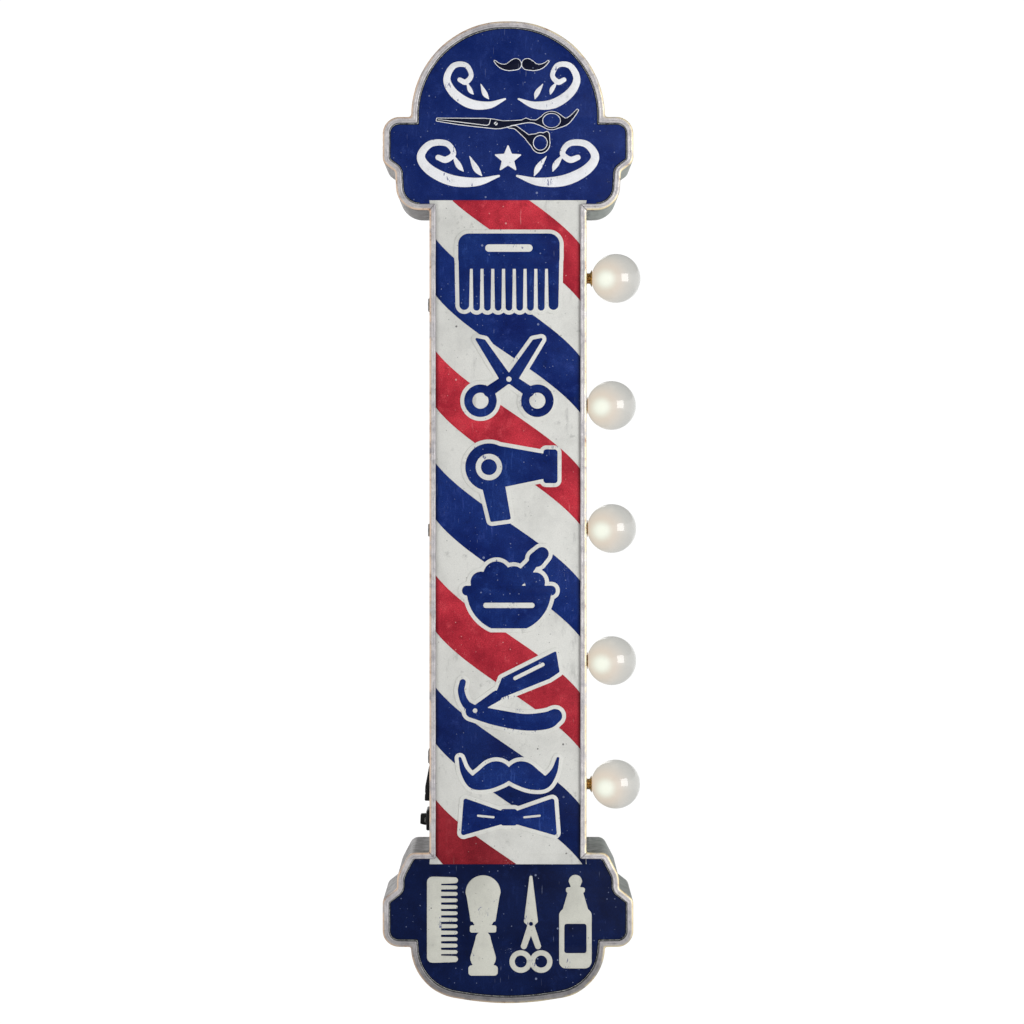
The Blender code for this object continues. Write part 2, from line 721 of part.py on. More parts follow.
def smooth_route(points, spacing):
    """Points this far apart along a Catmull-Rom curve through the route's own points."""
    points = [Vector(p) for p in points]
    ends = [2 * points[0] - points[1]] + points + [2 * points[-1] - points[-2]]
    route = []
    for a, b, c, d in zip(ends, ends[1:], ends[2:], ends[3:]):
        steps = max(1, round((c - b).length / spacing))
        for i in range(steps):
            t = i / steps
            bend = (2 * a - 5 * b + 4 * c - d) * t * t + (3 * b - a - 3 * c + d) * t**3
            route.append(0.5 * (2 * b + (c - a) * t + bend))
    return route + [points[-1]]


def add_wire(name, finish, route):
    curve = bpy.data.curves.new(name, "CURVE")
    curve.dimensions = "3D"
    curve.bevel_depth = WIRE_RADIUS * MM
    curve.bevel_resolution = 2
    curve.use_fill_caps = True
    spline = curve.splines.new("POLY")
    spline.points.add(len(route) - 1)
    for target, point in zip(spline.points, route):
        target.co = (*(point * MM), 1.0)
    return add(name, curve, finish)


def wiring():
    """The battery's positive goes to the switch, and from there and from its negative to the lamps."""
    switch_back = -SHAFT_HALF_WIDTH + SWITCH_BACK + GAP + WIRE_RADIUS
    box_back = -SHAFT_HALF_WIDTH + BOX_DEPTH + GAP + WIRE_RADIUS
    bottom, top = LAMPS[-1][0] - 4, LAMPS[0][0] + 6
    rail = LED_PITCH / 2
    positive = [
        (switch_back, -5, SWITCH_Z + 2),
        (switch_back + 9, -7, SWITCH_Z - 2),
        (0, -6, SWITCH_Z - 5),
        (WIRE_X - 14, -4, SWITCH_Z),
        (WIRE_X, -rail, bottom - 8),
        (WIRE_X, -rail, bottom),
    ]
    negative = [
        (box_back, -8, BATTERY_Z - 5),
        (box_back + 14, 4, BATTERY_Z - 14),
        (0, 6, BATTERY_Z - 18),
        (WIRE_X - 14, 4, BATTERY_Z - 16),
        (WIRE_X, rail, bottom - 8),
        (WIRE_X, rail, bottom),
    ]
    link = [
        (box_back, -14, BATTERY_Z + 4),
        (box_back + 7, -15, BATTERY_Z - 5),
        (box_back + 5, -12, SWITCH_Z + 12),
        (switch_back, -9, SWITCH_Z + 4),
    ]
    positive_route = smooth_route(positive, 9) + [Vector((WIRE_X, -rail, top))]
    negative_route = smooth_route(negative, 9) + [Vector((WIRE_X, rail, top))]
    add_wire("wire_switch_to_lamps", "red_wire", positive_route)
    add_wire("wire_battery_to_lamps", "black_wire", negative_route)
    add_wire("wire_battery_to_switch", "red_wire", smooth_route(link, 4))


def main():
    clear_scene()
    sign = bpy.data.objects.new("sign", None)
    bpy.context.scene.collection.objects.link(sign)
    sign.location = Vector((SIGN_OFFSET, 0, 0)) * MM
    casing()
    lamps()
    hangers()
    battery_at = Vector((-SHAFT_HALF_WIDTH, 0, BATTERY_Z))
    battery_box(battery_at)
    battery_door(battery_at)
    battery_contents(battery_at)
    switch(Vector((-SHAFT_HALF_WIDTH, 0, SWITCH_Z)))
    wiring()


main()
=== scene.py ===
"""The finished look of the barber pole light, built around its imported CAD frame.

Lengths in the helpers are millimetres. Flat shapes are drawn as (x, z) about the middle of the shaft, as
seen from the front, and placed in the frame's metres at the end. The same print is on both faces.
"""

import math

import bmesh
import bpy
import numpy as np
from mathutils import Matrix, Vector, noise


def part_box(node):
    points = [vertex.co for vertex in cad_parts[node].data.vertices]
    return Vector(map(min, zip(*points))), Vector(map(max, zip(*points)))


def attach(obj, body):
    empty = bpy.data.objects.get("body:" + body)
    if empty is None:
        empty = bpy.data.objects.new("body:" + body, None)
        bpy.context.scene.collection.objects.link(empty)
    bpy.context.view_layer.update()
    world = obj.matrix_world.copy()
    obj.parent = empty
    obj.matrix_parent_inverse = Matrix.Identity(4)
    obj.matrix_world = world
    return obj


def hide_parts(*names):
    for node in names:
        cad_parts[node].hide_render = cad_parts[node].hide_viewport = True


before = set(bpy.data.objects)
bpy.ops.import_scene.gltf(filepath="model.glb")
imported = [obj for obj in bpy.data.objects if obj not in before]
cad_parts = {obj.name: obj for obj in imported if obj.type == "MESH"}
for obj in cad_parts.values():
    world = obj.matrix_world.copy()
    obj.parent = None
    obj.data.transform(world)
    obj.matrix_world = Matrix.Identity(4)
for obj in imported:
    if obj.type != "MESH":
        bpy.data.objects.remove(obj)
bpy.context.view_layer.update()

MM = 0.001

# Where the casing is, from the frame
panel_low, panel_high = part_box("front_panel")
wall_low, wall_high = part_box("lamp_side_wall")
SHAFT_X = (panel_low.x + panel_high.x) / 2
FACE_Y = wall_low.y  # front of the rim
DEPTH = (wall_high.y - wall_low.y) / MM
SHAFT_HALF_WIDTH = (wall_high.x - SHAFT_X) / MM
PANEL_DEPTH = (panel_low.y - wall_low.y) / MM  # how far the printed face lies behind the rim
HEAD_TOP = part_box("head_band")[1].z / MM
LOBE_HALF_WIDTH = (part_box("head_band")[1].x - SHAFT_X) / MM
SHAFT_HALF_LENGTH = 208.7
HEAD_FOOT = 230.0  # beyond this height, only the head and the base are left

# Casing section
SHEET = 0.8
HEM_WIDTH = 4.0
HEM_THICK = 1.6
OUTER_ROUND = 1.3
INNER_ROUND = 0.75
SEAM_DEPTH = 0.12  # the fold line that runs along the rim
WEB_START = 2.1  # depth at which the rim's wear and painted shade have ended
GOLD_PLACE = 0.4  # the worn edge's middle, inward from the outline
GOLD_SPREAD = 0.6
PANEL_INSET = 1.1

# Print
STRIPE_PITCH = 72.87
STRIPE_HEIGHT = 36.6
STRIPE_PHASE = 6.05  # top edge of the middle blue stripe, on the shaft's centre line
STRIPE_DROP = 37.55
STRIPE_REACH = 55.2
FIELD_TOP = 215.2
FIELD_BOTTOM = -216.4
MOTIF_CENTRES = (168.1, 99.9, 31.8, -36.1, -104.0, -171.8)
MOTIF_SHIFT = 0.6  # to the right of the shaft's centre line
OUTLINE_WIDTH = 2.6
TOOL_LINE = 0.5  # the thin pale line round the head's tools
INK_HALF_THICKNESS = 0.3
INK_ROUND = 0.25


def linear(red, green, blue):
    """A colour given as 0 to 255, for a shader."""
    values = []
    for part in (red / 255, green / 255, blue / 255):
        values.append(part / 12.92 if part <= 0.04045 else ((part + 0.055) / 1.055) ** 2.4)
    return (*values, 1.0)


# Materials


class Finish:
    """A Principled material, with short ways to add the nodes that feed it."""

    def __init__(self, name, **fixed):
        self.material = bpy.data.materials.new(name)
        self.material.use_nodes = True
        self.tree = self.material.node_tree
        self.shader = self.tree.nodes["Principled BSDF"]
        for socket, value in fixed.items():
            self.shader.inputs[socket.replace("_", " ")].default_value = value
        self.place = self.add("ShaderNodeTexCoord").outputs["Object"]

    def feed(self, socket, value):
        if isinstance(value, bpy.types.NodeSocket):
            self.tree.links.new(value, socket)
        else:
            socket.default_value = value

    def add(self, kind, inputs=None, **settings):
        node = self.tree.nodes.new(kind)
        for key, value in settings.items():
            setattr(node, key, value)
        for key, value in (inputs or {}).items():
            self.feed(node.inputs[key], value)
        return node

    def stretched(self, x, y, z, turn=0.0):
        mapping = self.add("ShaderNodeMapping", {"Vector": self.place, "Scale": (x, y, z)})
        mapping.inputs["Rotation"].default_value = (0.0, turn, 0.0)
        return mapping.outputs["Vector"]

    def noise(self, size, detail=3.0, roughness=0.55, where=None):
        """Noise whose features are about this many millimetres across."""
        inputs = {"Vector": where or self.place, "Scale": 1.0 / (size * MM), "Detail": detail}
        inputs["Roughness"] = roughness
        return self.add("ShaderNodeTexNoise", inputs).outputs["Fac"]

    def spots(self, spacing, radius, share):
        """A mask of round spots of up to this radius, on this share of the print's cells."""
        x, _, z = self.axes()
        flat = self.add("ShaderNodeCombineXYZ", {"X": x, "Y": z}).outputs["Vector"]
        inputs = {"Vector": flat, "Scale": 1.0 / (spacing * MM)}
        cells = self.add("ShaderNodeTexVoronoi", inputs, voronoi_dimensions="2D", feature="F1")
        chance = self.add("ShaderNodeSeparateColor", {"Color": cells.outputs["Color"]})
        chosen = self.math("LESS_THAN", chance.outputs["Red"], share)
        size = self.times(chance.outputs["Green"], radius / spacing)
        spot = self.math("SUBTRACT", size, cells.outputs["Distance"])
        return self.times(self.ramp(spot, 0.0, 0.12 * radius / spacing), chosen)

    def axes(self):
        """The place's x, y and z."""
        outputs = self.add("ShaderNodeSeparateXYZ", {"Vector": self.place}).outputs
        return [outputs[axis] for axis in "XYZ"]

    def math(self, operation, a, b=0.0):
        return self.add("ShaderNodeMath", {0: a, 1: b}, operation=operation).outputs[0]

    def times(self, a, b):
        return self.math("MULTIPLY", a, b)

    def ramp(self, value, low, high, to_low=0.0, to_high=1.0):
        inputs = {"Value": value, "From Min": low, "From Max": high, "To Min": to_low, "To Max": to_high}
        return self.add("ShaderNodeMapRange", inputs, interpolation_type="SMOOTHSTEP").outputs["Result"]

    def blend(self, factor, a, b, mode="MIX"):
        node = self.add("ShaderNodeMix", data_type="RGBA", blend_type=mode)
        self.feed(node.inputs[0], factor)
        self.feed(node.inputs[6], a)
        self.feed(node.inputs[7], b)
        return node.outputs[2]

    def tinted(self, colour, tint, value, low, high, amount=1.0):
        """The colour with the tint blended in where the value is high."""
        return self.blend(self.ramp(value, low, high, 0.0, amount), colour, tint)

    def darkened(self, colour, factor):
        grey = self.add("ShaderNodeCombineColor", {0: factor, 1: factor, 2: factor}).outputs[0]
        return self.blend(1.0, colour, grey, "MULTIPLY")

    def shaded(self, colour, value, low, high, at_low, at_high):
        return self.darkened(colour, self.ramp(value, low, high, at_low, at_high))

    def specked(self, colour, tint, *sizes):
        """The colour with spots of the tint. Each size is (spacing, radius, share, strength)."""
        fine, coarse = (self.times(self.spots(*size[:3]), size[3]) for size in sizes)
        return self.blend(self.math("MAXIMUM", fine, coarse), colour, tint)

    def bump(self, height, depth, strength=1.0):
        inputs = {"Height": height, "Distance": depth * MM, "Strength": strength}
        return self.add("ShaderNodeBump", inputs).outputs["Normal"]

    def finish(self, colour, roughness=None, normal=None):
        self.feed(self.shader.inputs["Base Color"], colour)
        if roughness is not None:
            self.feed(self.shader.inputs["Roughness"], roughness)
        if normal is not None:
            self.feed(self.shader.inputs["Normal"], normal)
        return self.material


def height_shade(made, low=0.48):
    """Painted shade: the print darkens towards the foot, where less light falls."""
    return made.ramp(made.axes()[2], -230 * MM, -30 * MM, low, 1.0)


def side_shade(made):
    """Painted shade: the print darkens along the shaft's two long sides, where it turns down towards the rim.
    """
    off_centre = made.math("ABSOLUTE", made.math("SUBTRACT", made.axes()[0], SHAFT_X))
    inner = (SHAFT_HALF_WIDTH - HEM_WIDTH) * MM
    return made.ramp(off_centre, inner - 3.0 * MM, inner - 0.3 * MM, 1.0, 0.45)


def ink(name, deep, plain, light, chip, shaft=False, speck_share=0.35):
    """Screen-printed enamel on tin: mottled, grained, with specks, hairline scratches and small chips."""
    made = Finish(name, Specular_IOR_Level=0.07)
    cloud = made.noise(34, 5, 0.6)
    patches = made.noise(7, 6, 0.7)
    grain = made.noise(0.55, 2)
    speckle = made.noise(0.28, 1)
    colour = made.tinted(deep, plain, cloud, 0.34, 0.66)
    colour = made.tinted(colour, light, patches, 0.50, 0.80, 0.85)
    colour = made.shaded(colour, patches, 0.22, 0.45, 0.60, 1.0)
    colour = made.shaded(colour, grain, 0.25, 0.75, 0.66, 1.30)
    colour = made.shaded(colour, speckle, 0.3, 0.7, 0.86, 1.14)
    scrape = made.noise(1.8, 3, 0.6, made.stretched(1.0, 1.0, 0.16, 0.9))
    rubbed = made.times(made.ramp(scrape, 0.56, 0.70, 0.0, 0.8), made.ramp(cloud, 0.50, 0.62))
    colour = made.blend(rubbed, colour, light)
    colour = made.specked(colour, chip, (4.5, 0.42, speck_share, 0.45), (17.0, 0.85, speck_share, 0.5))
    hair = made.noise(0.8, 1, where=made.stretched(1.0, 1.0, 0.07, 0.5))
    region = made.ramp(made.noise(16, 2), 0.55, 0.66)
    scratch = made.times(made.ramp(hair, 0.71, 0.76, 0.0, 0.30), region)
    colour = made.blend(scratch, colour, chip)
    flakes = made.times(made.noise(0.9, 3, 0.6), made.ramp(made.noise(21, 2), 0.50, 0.74))
    chipped = made.ramp(flakes, 0.60, 0.63, 0.0, 0.7)
    colour = made.blend(chipped, colour, chip)
    # On the shaft: painted shade along the long sides and towards the foot.
    if shaft:
        colour = made.darkened(colour, side_shade(made))
        colour = made.darkened(colour, height_shade(made))
    rough = made.ramp(patches, 0.3, 0.8, 0.45, 0.62)
    height = made.math("ADD", made.times(grain, 0.4), made.times(chipped, -0.8))
    return made.finish(colour, rough, made.bump(height, 0.12, 0.5))


def cream_enamel(name, tone, shaft=True):
    """Aged off-white enamel with grey smudges and dark pinholes. The blue below it shows through where
    it is worn, except on the shaft's own ground."""
    made = Finish(name, Specular_IOR_Level=0.15)
    cloud = made.noise(26, 5, 0.62)
    dirt = made.noise(6, 7, 0.72)
    streak = made.noise(9, 5, 0.65, made.stretched(1.0, 1.0, 0.3, 0.45))
    grain = made.noise(0.5, 2)
    shade = tuple(part * 0.74 for part in tone[:3]) + (1.0,)
    colour = made.tinted(tone, shade, cloud, 0.40, 0.72, 0.55)
    grime = linear(124, 124, 122)
    colour = made.tinted(colour, grime, dirt, 0.57, 0.80, 0.60)
    colour = made.tinted(colour, grime, streak, 0.60, 0.74, 0.35)
    colour = made.specked(colour, linear(64, 62, 62), (6.0, 0.40, 0.4, 0.5), (17.0, 0.85, 0.35, 0.8))
    colour = made.shaded(colour, grain, 0.25, 0.75, 0.92, 1.04)
    if shaft:
        x = made.axes()[0]
        low, high = panel_low.x + 3 * MM, panel_high.x - 3 * MM
        colour = made.blend(made.ramp(x, low, low + 5 * MM, 0.6, 0.0), colour, linear(202, 216, 202))
        colour = made.tinted(colour, linear(196, 180, 190), x, high - 4 * MM, high - MM, 0.6)
        # Painted shade along the shaft's long sides and towards the foot.
        colour = made.shaded(colour, side_shade(made), 0.45, 1.0, 0.88, 1.0)
        colour = made.darkened(colour, height_shade(made, 0.93))
    else:
        flakes = made.noise(1.3, 4, 0.65, made.stretched(1.0, 1.0, 0.3, 0.5))
        flakes = made.times(flakes, made.ramp(made.noise(12, 2), 0.46, 0.66))
        colour = made.tinted(colour, linear(38, 54, 122), flakes, 0.58, 0.62, 0.8)
    return made.finish(colour, made.ramp(dirt, 0.3, 0.8, 0.45, 0.65), made.bump(grain, 0.08, 0.4))


def zinc():
    """Casing sheet. The mesh's wear_and_shade attribute says where the rim (red), its outer edge (green), the
    recess beside the print (blue) and the fold line (alpha) are. The recess is darkened as painted shadow."""
    made = Finish("aged_zinc", Metallic=0.3, Specular_IOR_Level=0.4)
    wear_and_shade = made.add("ShaderNodeAttribute", attribute_name="wear_and_shade")
    parts = made.add("ShaderNodeSeparateColor", {"Color": wear_and_shade.outputs["Color"]})
    rim, edge, recess = (parts.outputs[part] for part in ("Red", "Green", "Blue"))
    seam = wear_and_shade.outputs["Alpha"]
    x, _, z = made.axes()
    cloud = made.noise(30, 5, 0.6)
    blotch = made.noise(5, 5, 0.7)
    brushed = made.noise(2.2, 4, 0.6, made.stretched(1.0, 1.0, 0.12))
    grain = made.noise(0.5, 2)
    lampward = made.ramp(x, SHAFT_X - 30 * MM, SHAFT_X + 30 * MM)
    dull = made.blend(lampward, linear(104, 101, 100), linear(134, 139, 135))
    pale = made.blend(lampward, linear(124, 121, 120), linear(154, 160, 155))
    web = made.tinted(dull, pale, cloud, 0.30, 0.70)
    web = made.tinted(web, linear(92, 92, 88), brushed, 0.35, 0.75, 0.35)
    web = made.tinted(web, linear(108, 114, 107), blotch, 0.58, 0.78, 0.45)
    hair = made.noise(0.9, 1, where=made.stretched(1.0, 0.07, 1.0, 0.4))
    web = made.tinted(web, linear(172, 172, 168), hair, 0.69, 0.76, 0.2)
    # Painted shade: the webs low on the base are darkened, against the light their upward faces catch.
    web = made.shaded(web, z, -215 * MM, -190 * MM, 0.62, 1.0)
    web = made.blend(soldered(made), web, linear(24, 24, 21))
    face = made.tinted(linear(208, 204, 205), linear(176, 173, 177), blotch, 0.35, 0.68)
    stain = made.noise(2.4, 6, 0.78)
    face = made.tinted(face, linear(88, 84, 80), stain, 0.58, 0.72, 0.75)
    # Painted shade: the rim darkens towards the foot.
    face = made.shaded(face, z, -295 * MM, -235 * MM, 0.40, 1.0)
    face = made.shaded(face, lampward, 0.0, 1.0, 0.86, 1.0)
    gold = made.blend(lampward, linear(240, 208, 178), linear(250, 232, 184))
    gold = made.tinted(gold, linear(186, 136, 92), blotch, 0.54, 0.70)
    # Painted shade: the gold edge darkens towards the foot.
    gold = made.shaded(gold, z, -295 * MM, -235 * MM, 0.70, 1.0)
    tint = made.blend(lampward, linear(255, 247, 246), linear(249, 255, 250))
    web = made.blend(1.0, web, tint, "MULTIPLY")
    colour = made.blend(rim, web, face)
    gold_line = made.times(edge, made.ramp(made.noise(12, 3), 0.34, 0.50, 0.25, 1.0))
    colour = made.blend(gold_line, colour, gold)
    fold = made.times(seam, made.ramp(made.noise(7, 4, 0.7), 0.48, 0.66, 0.05, 0.45))
    colour = made.blend(fold, colour, linear(58, 56, 56))
    # Painted shadow: the recess beside the print, under the rim's inner edge, goes almost black, with some
    # dark patina.
    depth = made.times(recess, made.ramp(made.noise(11, 3), 0.30, 0.56, 0.6, 1.0))
    colour = made.blend(depth, colour, linear(16, 16, 18))
    colour = made.shaded(colour, grain, 0.25, 0.75, 0.88, 1.06)
    rough = made.ramp(blotch, 0.3, 0.75, 0.38, 0.62)
    height = made.math("ADD", blotch, made.times(brushed, 0.4))
    return made.finish(colour, rough, made.bump(height, 0.25, 0.45))


def soldered(made):
    """A mask of flux stains where the shaft's walls meet the head and the base, behind the rims."""
    x, y, z = made.axes()
    off_x = made.math("ABSOLUTE", made.math("SUBTRACT", x, SHAFT_X))
    off_x = made.math("SUBTRACT", off_x, SHAFT_HALF_WIDTH * MM)
    off_z = made.math("SUBTRACT", made.math("ABSOLUTE", z), SHAFT_HALF_LENGTH * MM)
    off = made.math("ADD", made.math("POWER", off_x, 2.0), made.math("POWER", off_z, 2.0))
    off = made.math("SQRT", off)
    outward = made.ramp(made.math("ABSOLUTE", y), 24 * MM, 36 * MM)
    blob = made.times(made.ramp(off, 3 * MM, 11 * MM, 1.0, 0.0), outward)
    line = made.ramp(off, 1.2 * MM, 4.2 * MM, 0.9, 0.0)
    near = made.math("MAXIMUM", blob, line)
    return made.times(near, made.ramp(made.noise(2.6, 4, 0.7), 0.42, 0.50))


def metal(name, dark, light, patina, roughness=0.35, metallic=1.0, size=2.0, shine=0.5):
    made = Finish(name, Metallic=metallic, Specular_IOR_Level=shine)
    mottle = made.noise(size, 5, 0.65)
    stain = made.noise(size * 2.6, 4, 0.7)
    colour = made.tinted(dark, light, mottle, 0.3, 0.7)
    colour = made.tinted(colour, patina, stain, 0.52, 0.70, 0.8)
    rough = made.ramp(mottle, 0.3, 0.75, roughness - 0.08, roughness + 0.18)
    return made.finish(colour, rough, made.bump(mottle, 0.08, 0.4))


def moulded(name, tone, roughness=0.42):
    """Moulded plastic with a fine spark-eroded grain and a little dust."""
    made = Finish(name, Specular_IOR_Level=0.2)
    grain = made.noise(0.5, 2)
    dust = made.noise(7, 5, 0.65)
    pale = tuple(min(1.0, part * 1.8 + 0.02) for part in tone[:3]) + (1.0,)
    colour = made.tinted(tone, pale, dust, 0.50, 0.80, 0.5)
    rough = made.ramp(dust, 0.3, 0.7, roughness - 0.06, roughness + 0.14)
    return made.finish(colour, rough, made.bump(grain, 0.05, 0.5))


def opal():
    """Frosted white globe with a glossy skin. Its from_led attribute is the way from the lamp chip, in
    centimetres, so that the shell glows where the chip is nearest behind it."""
    made = Finish("opal_globe", Roughness=0.5, Coat_Weight=1.0, Coat_Roughness=0.03, Specular_IOR_Level=0.3)
    away = made.add("ShaderNodeAttribute", attribute_name="from_led").outputs["Vector"]
    parts = made.add("ShaderNodeSeparateXYZ", {"Vector": away})
    across = made.math("POWER", parts.outputs["X"], 2.0)
    along = made.math("POWER", parts.outputs["Z"], 2.0)
    distance = made.math("SQRT", made.math("ADD", across, along))
    core = made.ramp(distance, 0.12, 0.80, 1.0, 0.0)
    halo = made.ramp(distance, 0.30, 0.95, 1.0, 0.0)
    blush = made.ramp(distance, 0.5, 2.0, 1.0, 0.0)
    # Painted light: besides the chip's glow, the whole shell glows, a little more towards the neck.
    body = made.ramp(parts.outputs["X"], -1.0, 2.3, 0.60, 0.40)
    milk = made.noise(6, 3)
    glow = made.tinted(linear(246, 246, 240), linear(252, 250, 243), milk, 0.3, 0.7)
    glow = made.blend(made.times(blush, 0.85), glow, linear(255, 232, 208))
    glow = made.blend(made.times(halo, 0.9), glow, linear(250, 255, 240))
    made.feed(made.shader.inputs["Emission Color"], glow)
    strength = made.math("ADD", made.times(core, 0.22), made.times(blush, 0.12))
    made.feed(made.shader.inputs["Emission Strength"], made.math("ADD", strength, body))
    return made.finish(linear(120, 120, 117))


def glowing(name, tone, strength):
    made = Finish(name, Roughness=0.3, Emission_Color=tone, Emission_Strength=strength)
    body = made.noise(1.2, 2)
    return made.finish(made.tinted(tone, linear(255, 244, 214), body, 0.3, 0.7))


def jacket():
    """A plain cell sleeve: dark with a pale band at the nub end and no marking."""
    made = Finish("cell_jacket", Roughness=0.28, Coat_Weight=0.4)
    nub_end = made.ramp(made.math("ABSOLUTE", made.axes()[1]), 12.4 * MM, 12.8 * MM)
    scuff = made.noise(3, 5, 0.7)
    colour = made.blend(nub_end, linear(32, 70, 44), linear(196, 172, 96))
    colour = made.tinted(colour, linear(150, 150, 146), scuff, 0.6, 0.8, 0.4)
    return made.finish(colour, None, made.bump(scuff, 0.03, 0.3))


CREAM = linear(222, 222, 217)
BLUE_CHIP = linear(150, 162, 196)
RED_CHIP = linear(222, 190, 186)
FINISHES = {
    "zinc": zinc(),
    "shaft_cream": cream_enamel("shaft_cream", CREAM),
    "motif_cream": cream_enamel("motif_cream", linear(224, 224, 219), shaft=False),
    # Painted shade: the base's cream is darker than the motifs' cream, for the light falling off towards the
    # foot.
    "base_cream": cream_enamel("base_cream", linear(206, 206, 196), shaft=False),
    "head_white": cream_enamel("head_white", linear(240, 241, 244), shaft=False),
    "stripe_blue": ink(
        "stripe_blue", linear(5, 27, 92), linear(18, 44, 112), linear(44, 64, 136), BLUE_CHIP, True
    ),
    "stripe_red": ink(
        "stripe_red", linear(160, 34, 50), linear(202, 54, 68), linear(210, 74, 84), RED_CHIP, True, 0.2
    ),
    "motif_blue": ink("motif_blue", linear(4, 27, 90), linear(18, 44, 110), linear(40, 66, 136), BLUE_CHIP),
    "head_blue": ink(
        "head_blue", linear(4, 29, 94), linear(24, 44, 108), linear(40, 60, 128), BLUE_CHIP, speck_share=0.3
    ),
    # Painted shade: the base's blue is a darker copy of the head's blue, for the light falling off towards
    # the foot.
    "base_blue": ink(
        "base_blue", linear(2, 14, 52), linear(7, 24, 68), linear(20, 36, 84), BLUE_CHIP, speck_share=0.3
    ),
    # Near-black ink for the painted shadow, with dark patina, where the print meets the rim.
    "gutter_shadow": ink("gutter_shadow", linear(6, 8, 20), linear(12, 14, 28), linear(26, 28, 40), linear(108, 108, 104)),
    "edge_line": metal(
        "edge_line", linear(96, 98, 98), linear(208, 210, 206), linear(30, 30, 34), 0.4, 0.2, 1.2
    ),
    "navy": ink("navy", linear(8, 12, 34), linear(12, 18, 42), linear(22, 28, 56), BLUE_CHIP),
    "brass": metal("aged_brass", linear(168, 124, 66), linear(246, 220, 160), linear(104, 74, 42), 0.26, 0.7),
    "bronze": metal(
        "bronzed_steel", linear(58, 50, 42), linear(98, 86, 72), linear(42, 34, 27), 0.6, 0.1, 3.0, 0.12
    ),
    "fastener": metal("dull_steel", linear(82, 80, 78), linear(126, 124, 120), linear(58, 56, 54), 0.42, 0.5),
    "steel": metal("plated_steel", linear(148, 148, 146), linear(206, 205, 202), linear(108, 106, 102), 0.3),
    "plastic": moulded("black_plastic", linear(17, 17, 18)),
    "globe": opal(),
    "lamp": glowing("lamp_chip", linear(255, 226, 172), 6.0),
    "jacket": jacket(),
    "red_wire": moulded("red_insulation", linear(170, 26, 26), 0.4),
    "black_wire": moulded("black_insulation", linear(26, 26, 27), 0.4),
}


# Pieces


def placed(name, data):
    """A new object in the scene."""
    obj = bpy.data.objects.new(name, data)
    bpy.context.scene.collection.objects.link(obj)
    return obj


def final_mesh(obj):
    graph = bpy.context.evaluated_depsgraph_get()
    return bpy.data.meshes.new_from_object(obj.evaluated_get(graph))


def piece(name, mesh, finish, body="casing", smooth=35):
    obj = placed(name, mesh)
    mesh.materials.clear()
    mesh.materials.append(FINISHES[finish])
    if smooth:
        mesh.shade_smooth()
        mesh.set_sharp_from_angle(angle=math.radians(smooth))
    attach(obj, body)
    return obj


def mesh_from(name, bm):
    bmesh.ops.recalc_face_normals(bm, faces=bm.faces)
    mesh = bpy.data.meshes.new(name)
    bm.to_mesh(mesh)
    bm.free()
    return mesh


def spun(points, axis, steps, closed=True, weld=1e-7):
    """A line through these points, spun about an axis."""
    bm = bmesh.new()
    verts = [bm.verts.new(point) for point in points]
    ends = verts[1:] + (verts[:1] if closed else [])
    edges = [bm.edges.new(pair) for pair in zip(verts, ends)]
    bmesh.ops.spin(bm, geom=verts + edges, axis=axis, angle=math.tau, steps=steps, use_merge=True)
    bmesh.ops.remove_doubles(bm, verts=bm.verts, dist=weld)
    return bm


def turned(name, profile, at, steps=48):
    """A closed profile of (distance along x, radius) spun about the x axis, then moved to a point."""
    axis = Vector((1, 0, 0))
    across = axis.orthogonal().normalized()
    bm = spun([(axis * along + across * radius) * MM for along, radius in profile], axis, steps)
    bmesh.ops.dissolve_degenerate(bm, dist=1e-7, edges=bm.edges)
    bmesh.ops.translate(bm, vec=at, verts=bm.verts)
    return mesh_from(name, bm)


def softened(node, width, finish, segments=2, body="casing"):
    """A copy of a CAD node with its edges rounded over, standing for that node."""
    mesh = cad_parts[node].data.copy()
    bm = bmesh.new()
    bm.from_mesh(mesh)
    bmesh.ops.remove_doubles(bm, verts=bm.verts, dist=1e-6)
    bmesh.ops.dissolve_limit(bm, angle_limit=math.radians(1), verts=bm.verts, edges=bm.edges)
    bm.to_mesh(mesh)
    bm.free()
    mesh.name = "soft_" + node
    obj = piece("soft_" + node, mesh, finish, body, smooth=0)
    bevel = obj.modifiers.new("edges", "BEVEL")
    bevel.width = width * MM
    bevel.segments = segments
    bevel.limit_method = "ANGLE"
    bevel.angle_limit = math.radians(30)
    bevel.harden_normals = True
    mesh.shade_smooth()
    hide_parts(node)
    return obj


# Casing outline, as (x, z, corner radius) for its right half, from the top down

DOME_AND_HEAD = [
    (63.0, HEAD_TOP, 61.5),
    (63.0, 269.4, 2.0),
    (LOBE_HALF_WIDTH, 269.4, 11.0),
    (LOBE_HALF_WIDTH, 239.9, 6.5),
    (73.4, 233.7, 3.0),
    (72.1, SHAFT_HALF_LENGTH, 15.5),
]
SHAFT_CORNERS = [
    (SHAFT_HALF_WIDTH, SHAFT_HALF_LENGTH, 1.5),
    (SHAFT_HALF_WIDTH, -SHAFT_HALF_LENGTH, 1.5),
]
BASE = [
    (64.2, -SHAFT_HALF_LENGTH, 6.0),
    (72.3, -224.2, 15.0),
    (72.3, -231.9, 2.5),
    (LOBE_HALF_WIDTH, -239.1, 5.5),
    (LOBE_HALF_WIDTH, -269.9, 10.5),
    (63.2, -270.2, 1.5),
    (60.8, -299.2, 34.0),
]
BASE_MIDDLE = (0.0, -308.8, 170.0)
ARC_STEP = math.radians(5)
LONGEST_STEP = 4.0
MITRE = (0.0, 0.4, 0.6, 1.0)
NOTCH_RADIUS = 2.0  # an inside corner this tight or tighter has its hem mitred, not bent round
NOTCH_INSIDE = 1.0


def left_of(heading):
    return Vector((-heading.y, heading.x))


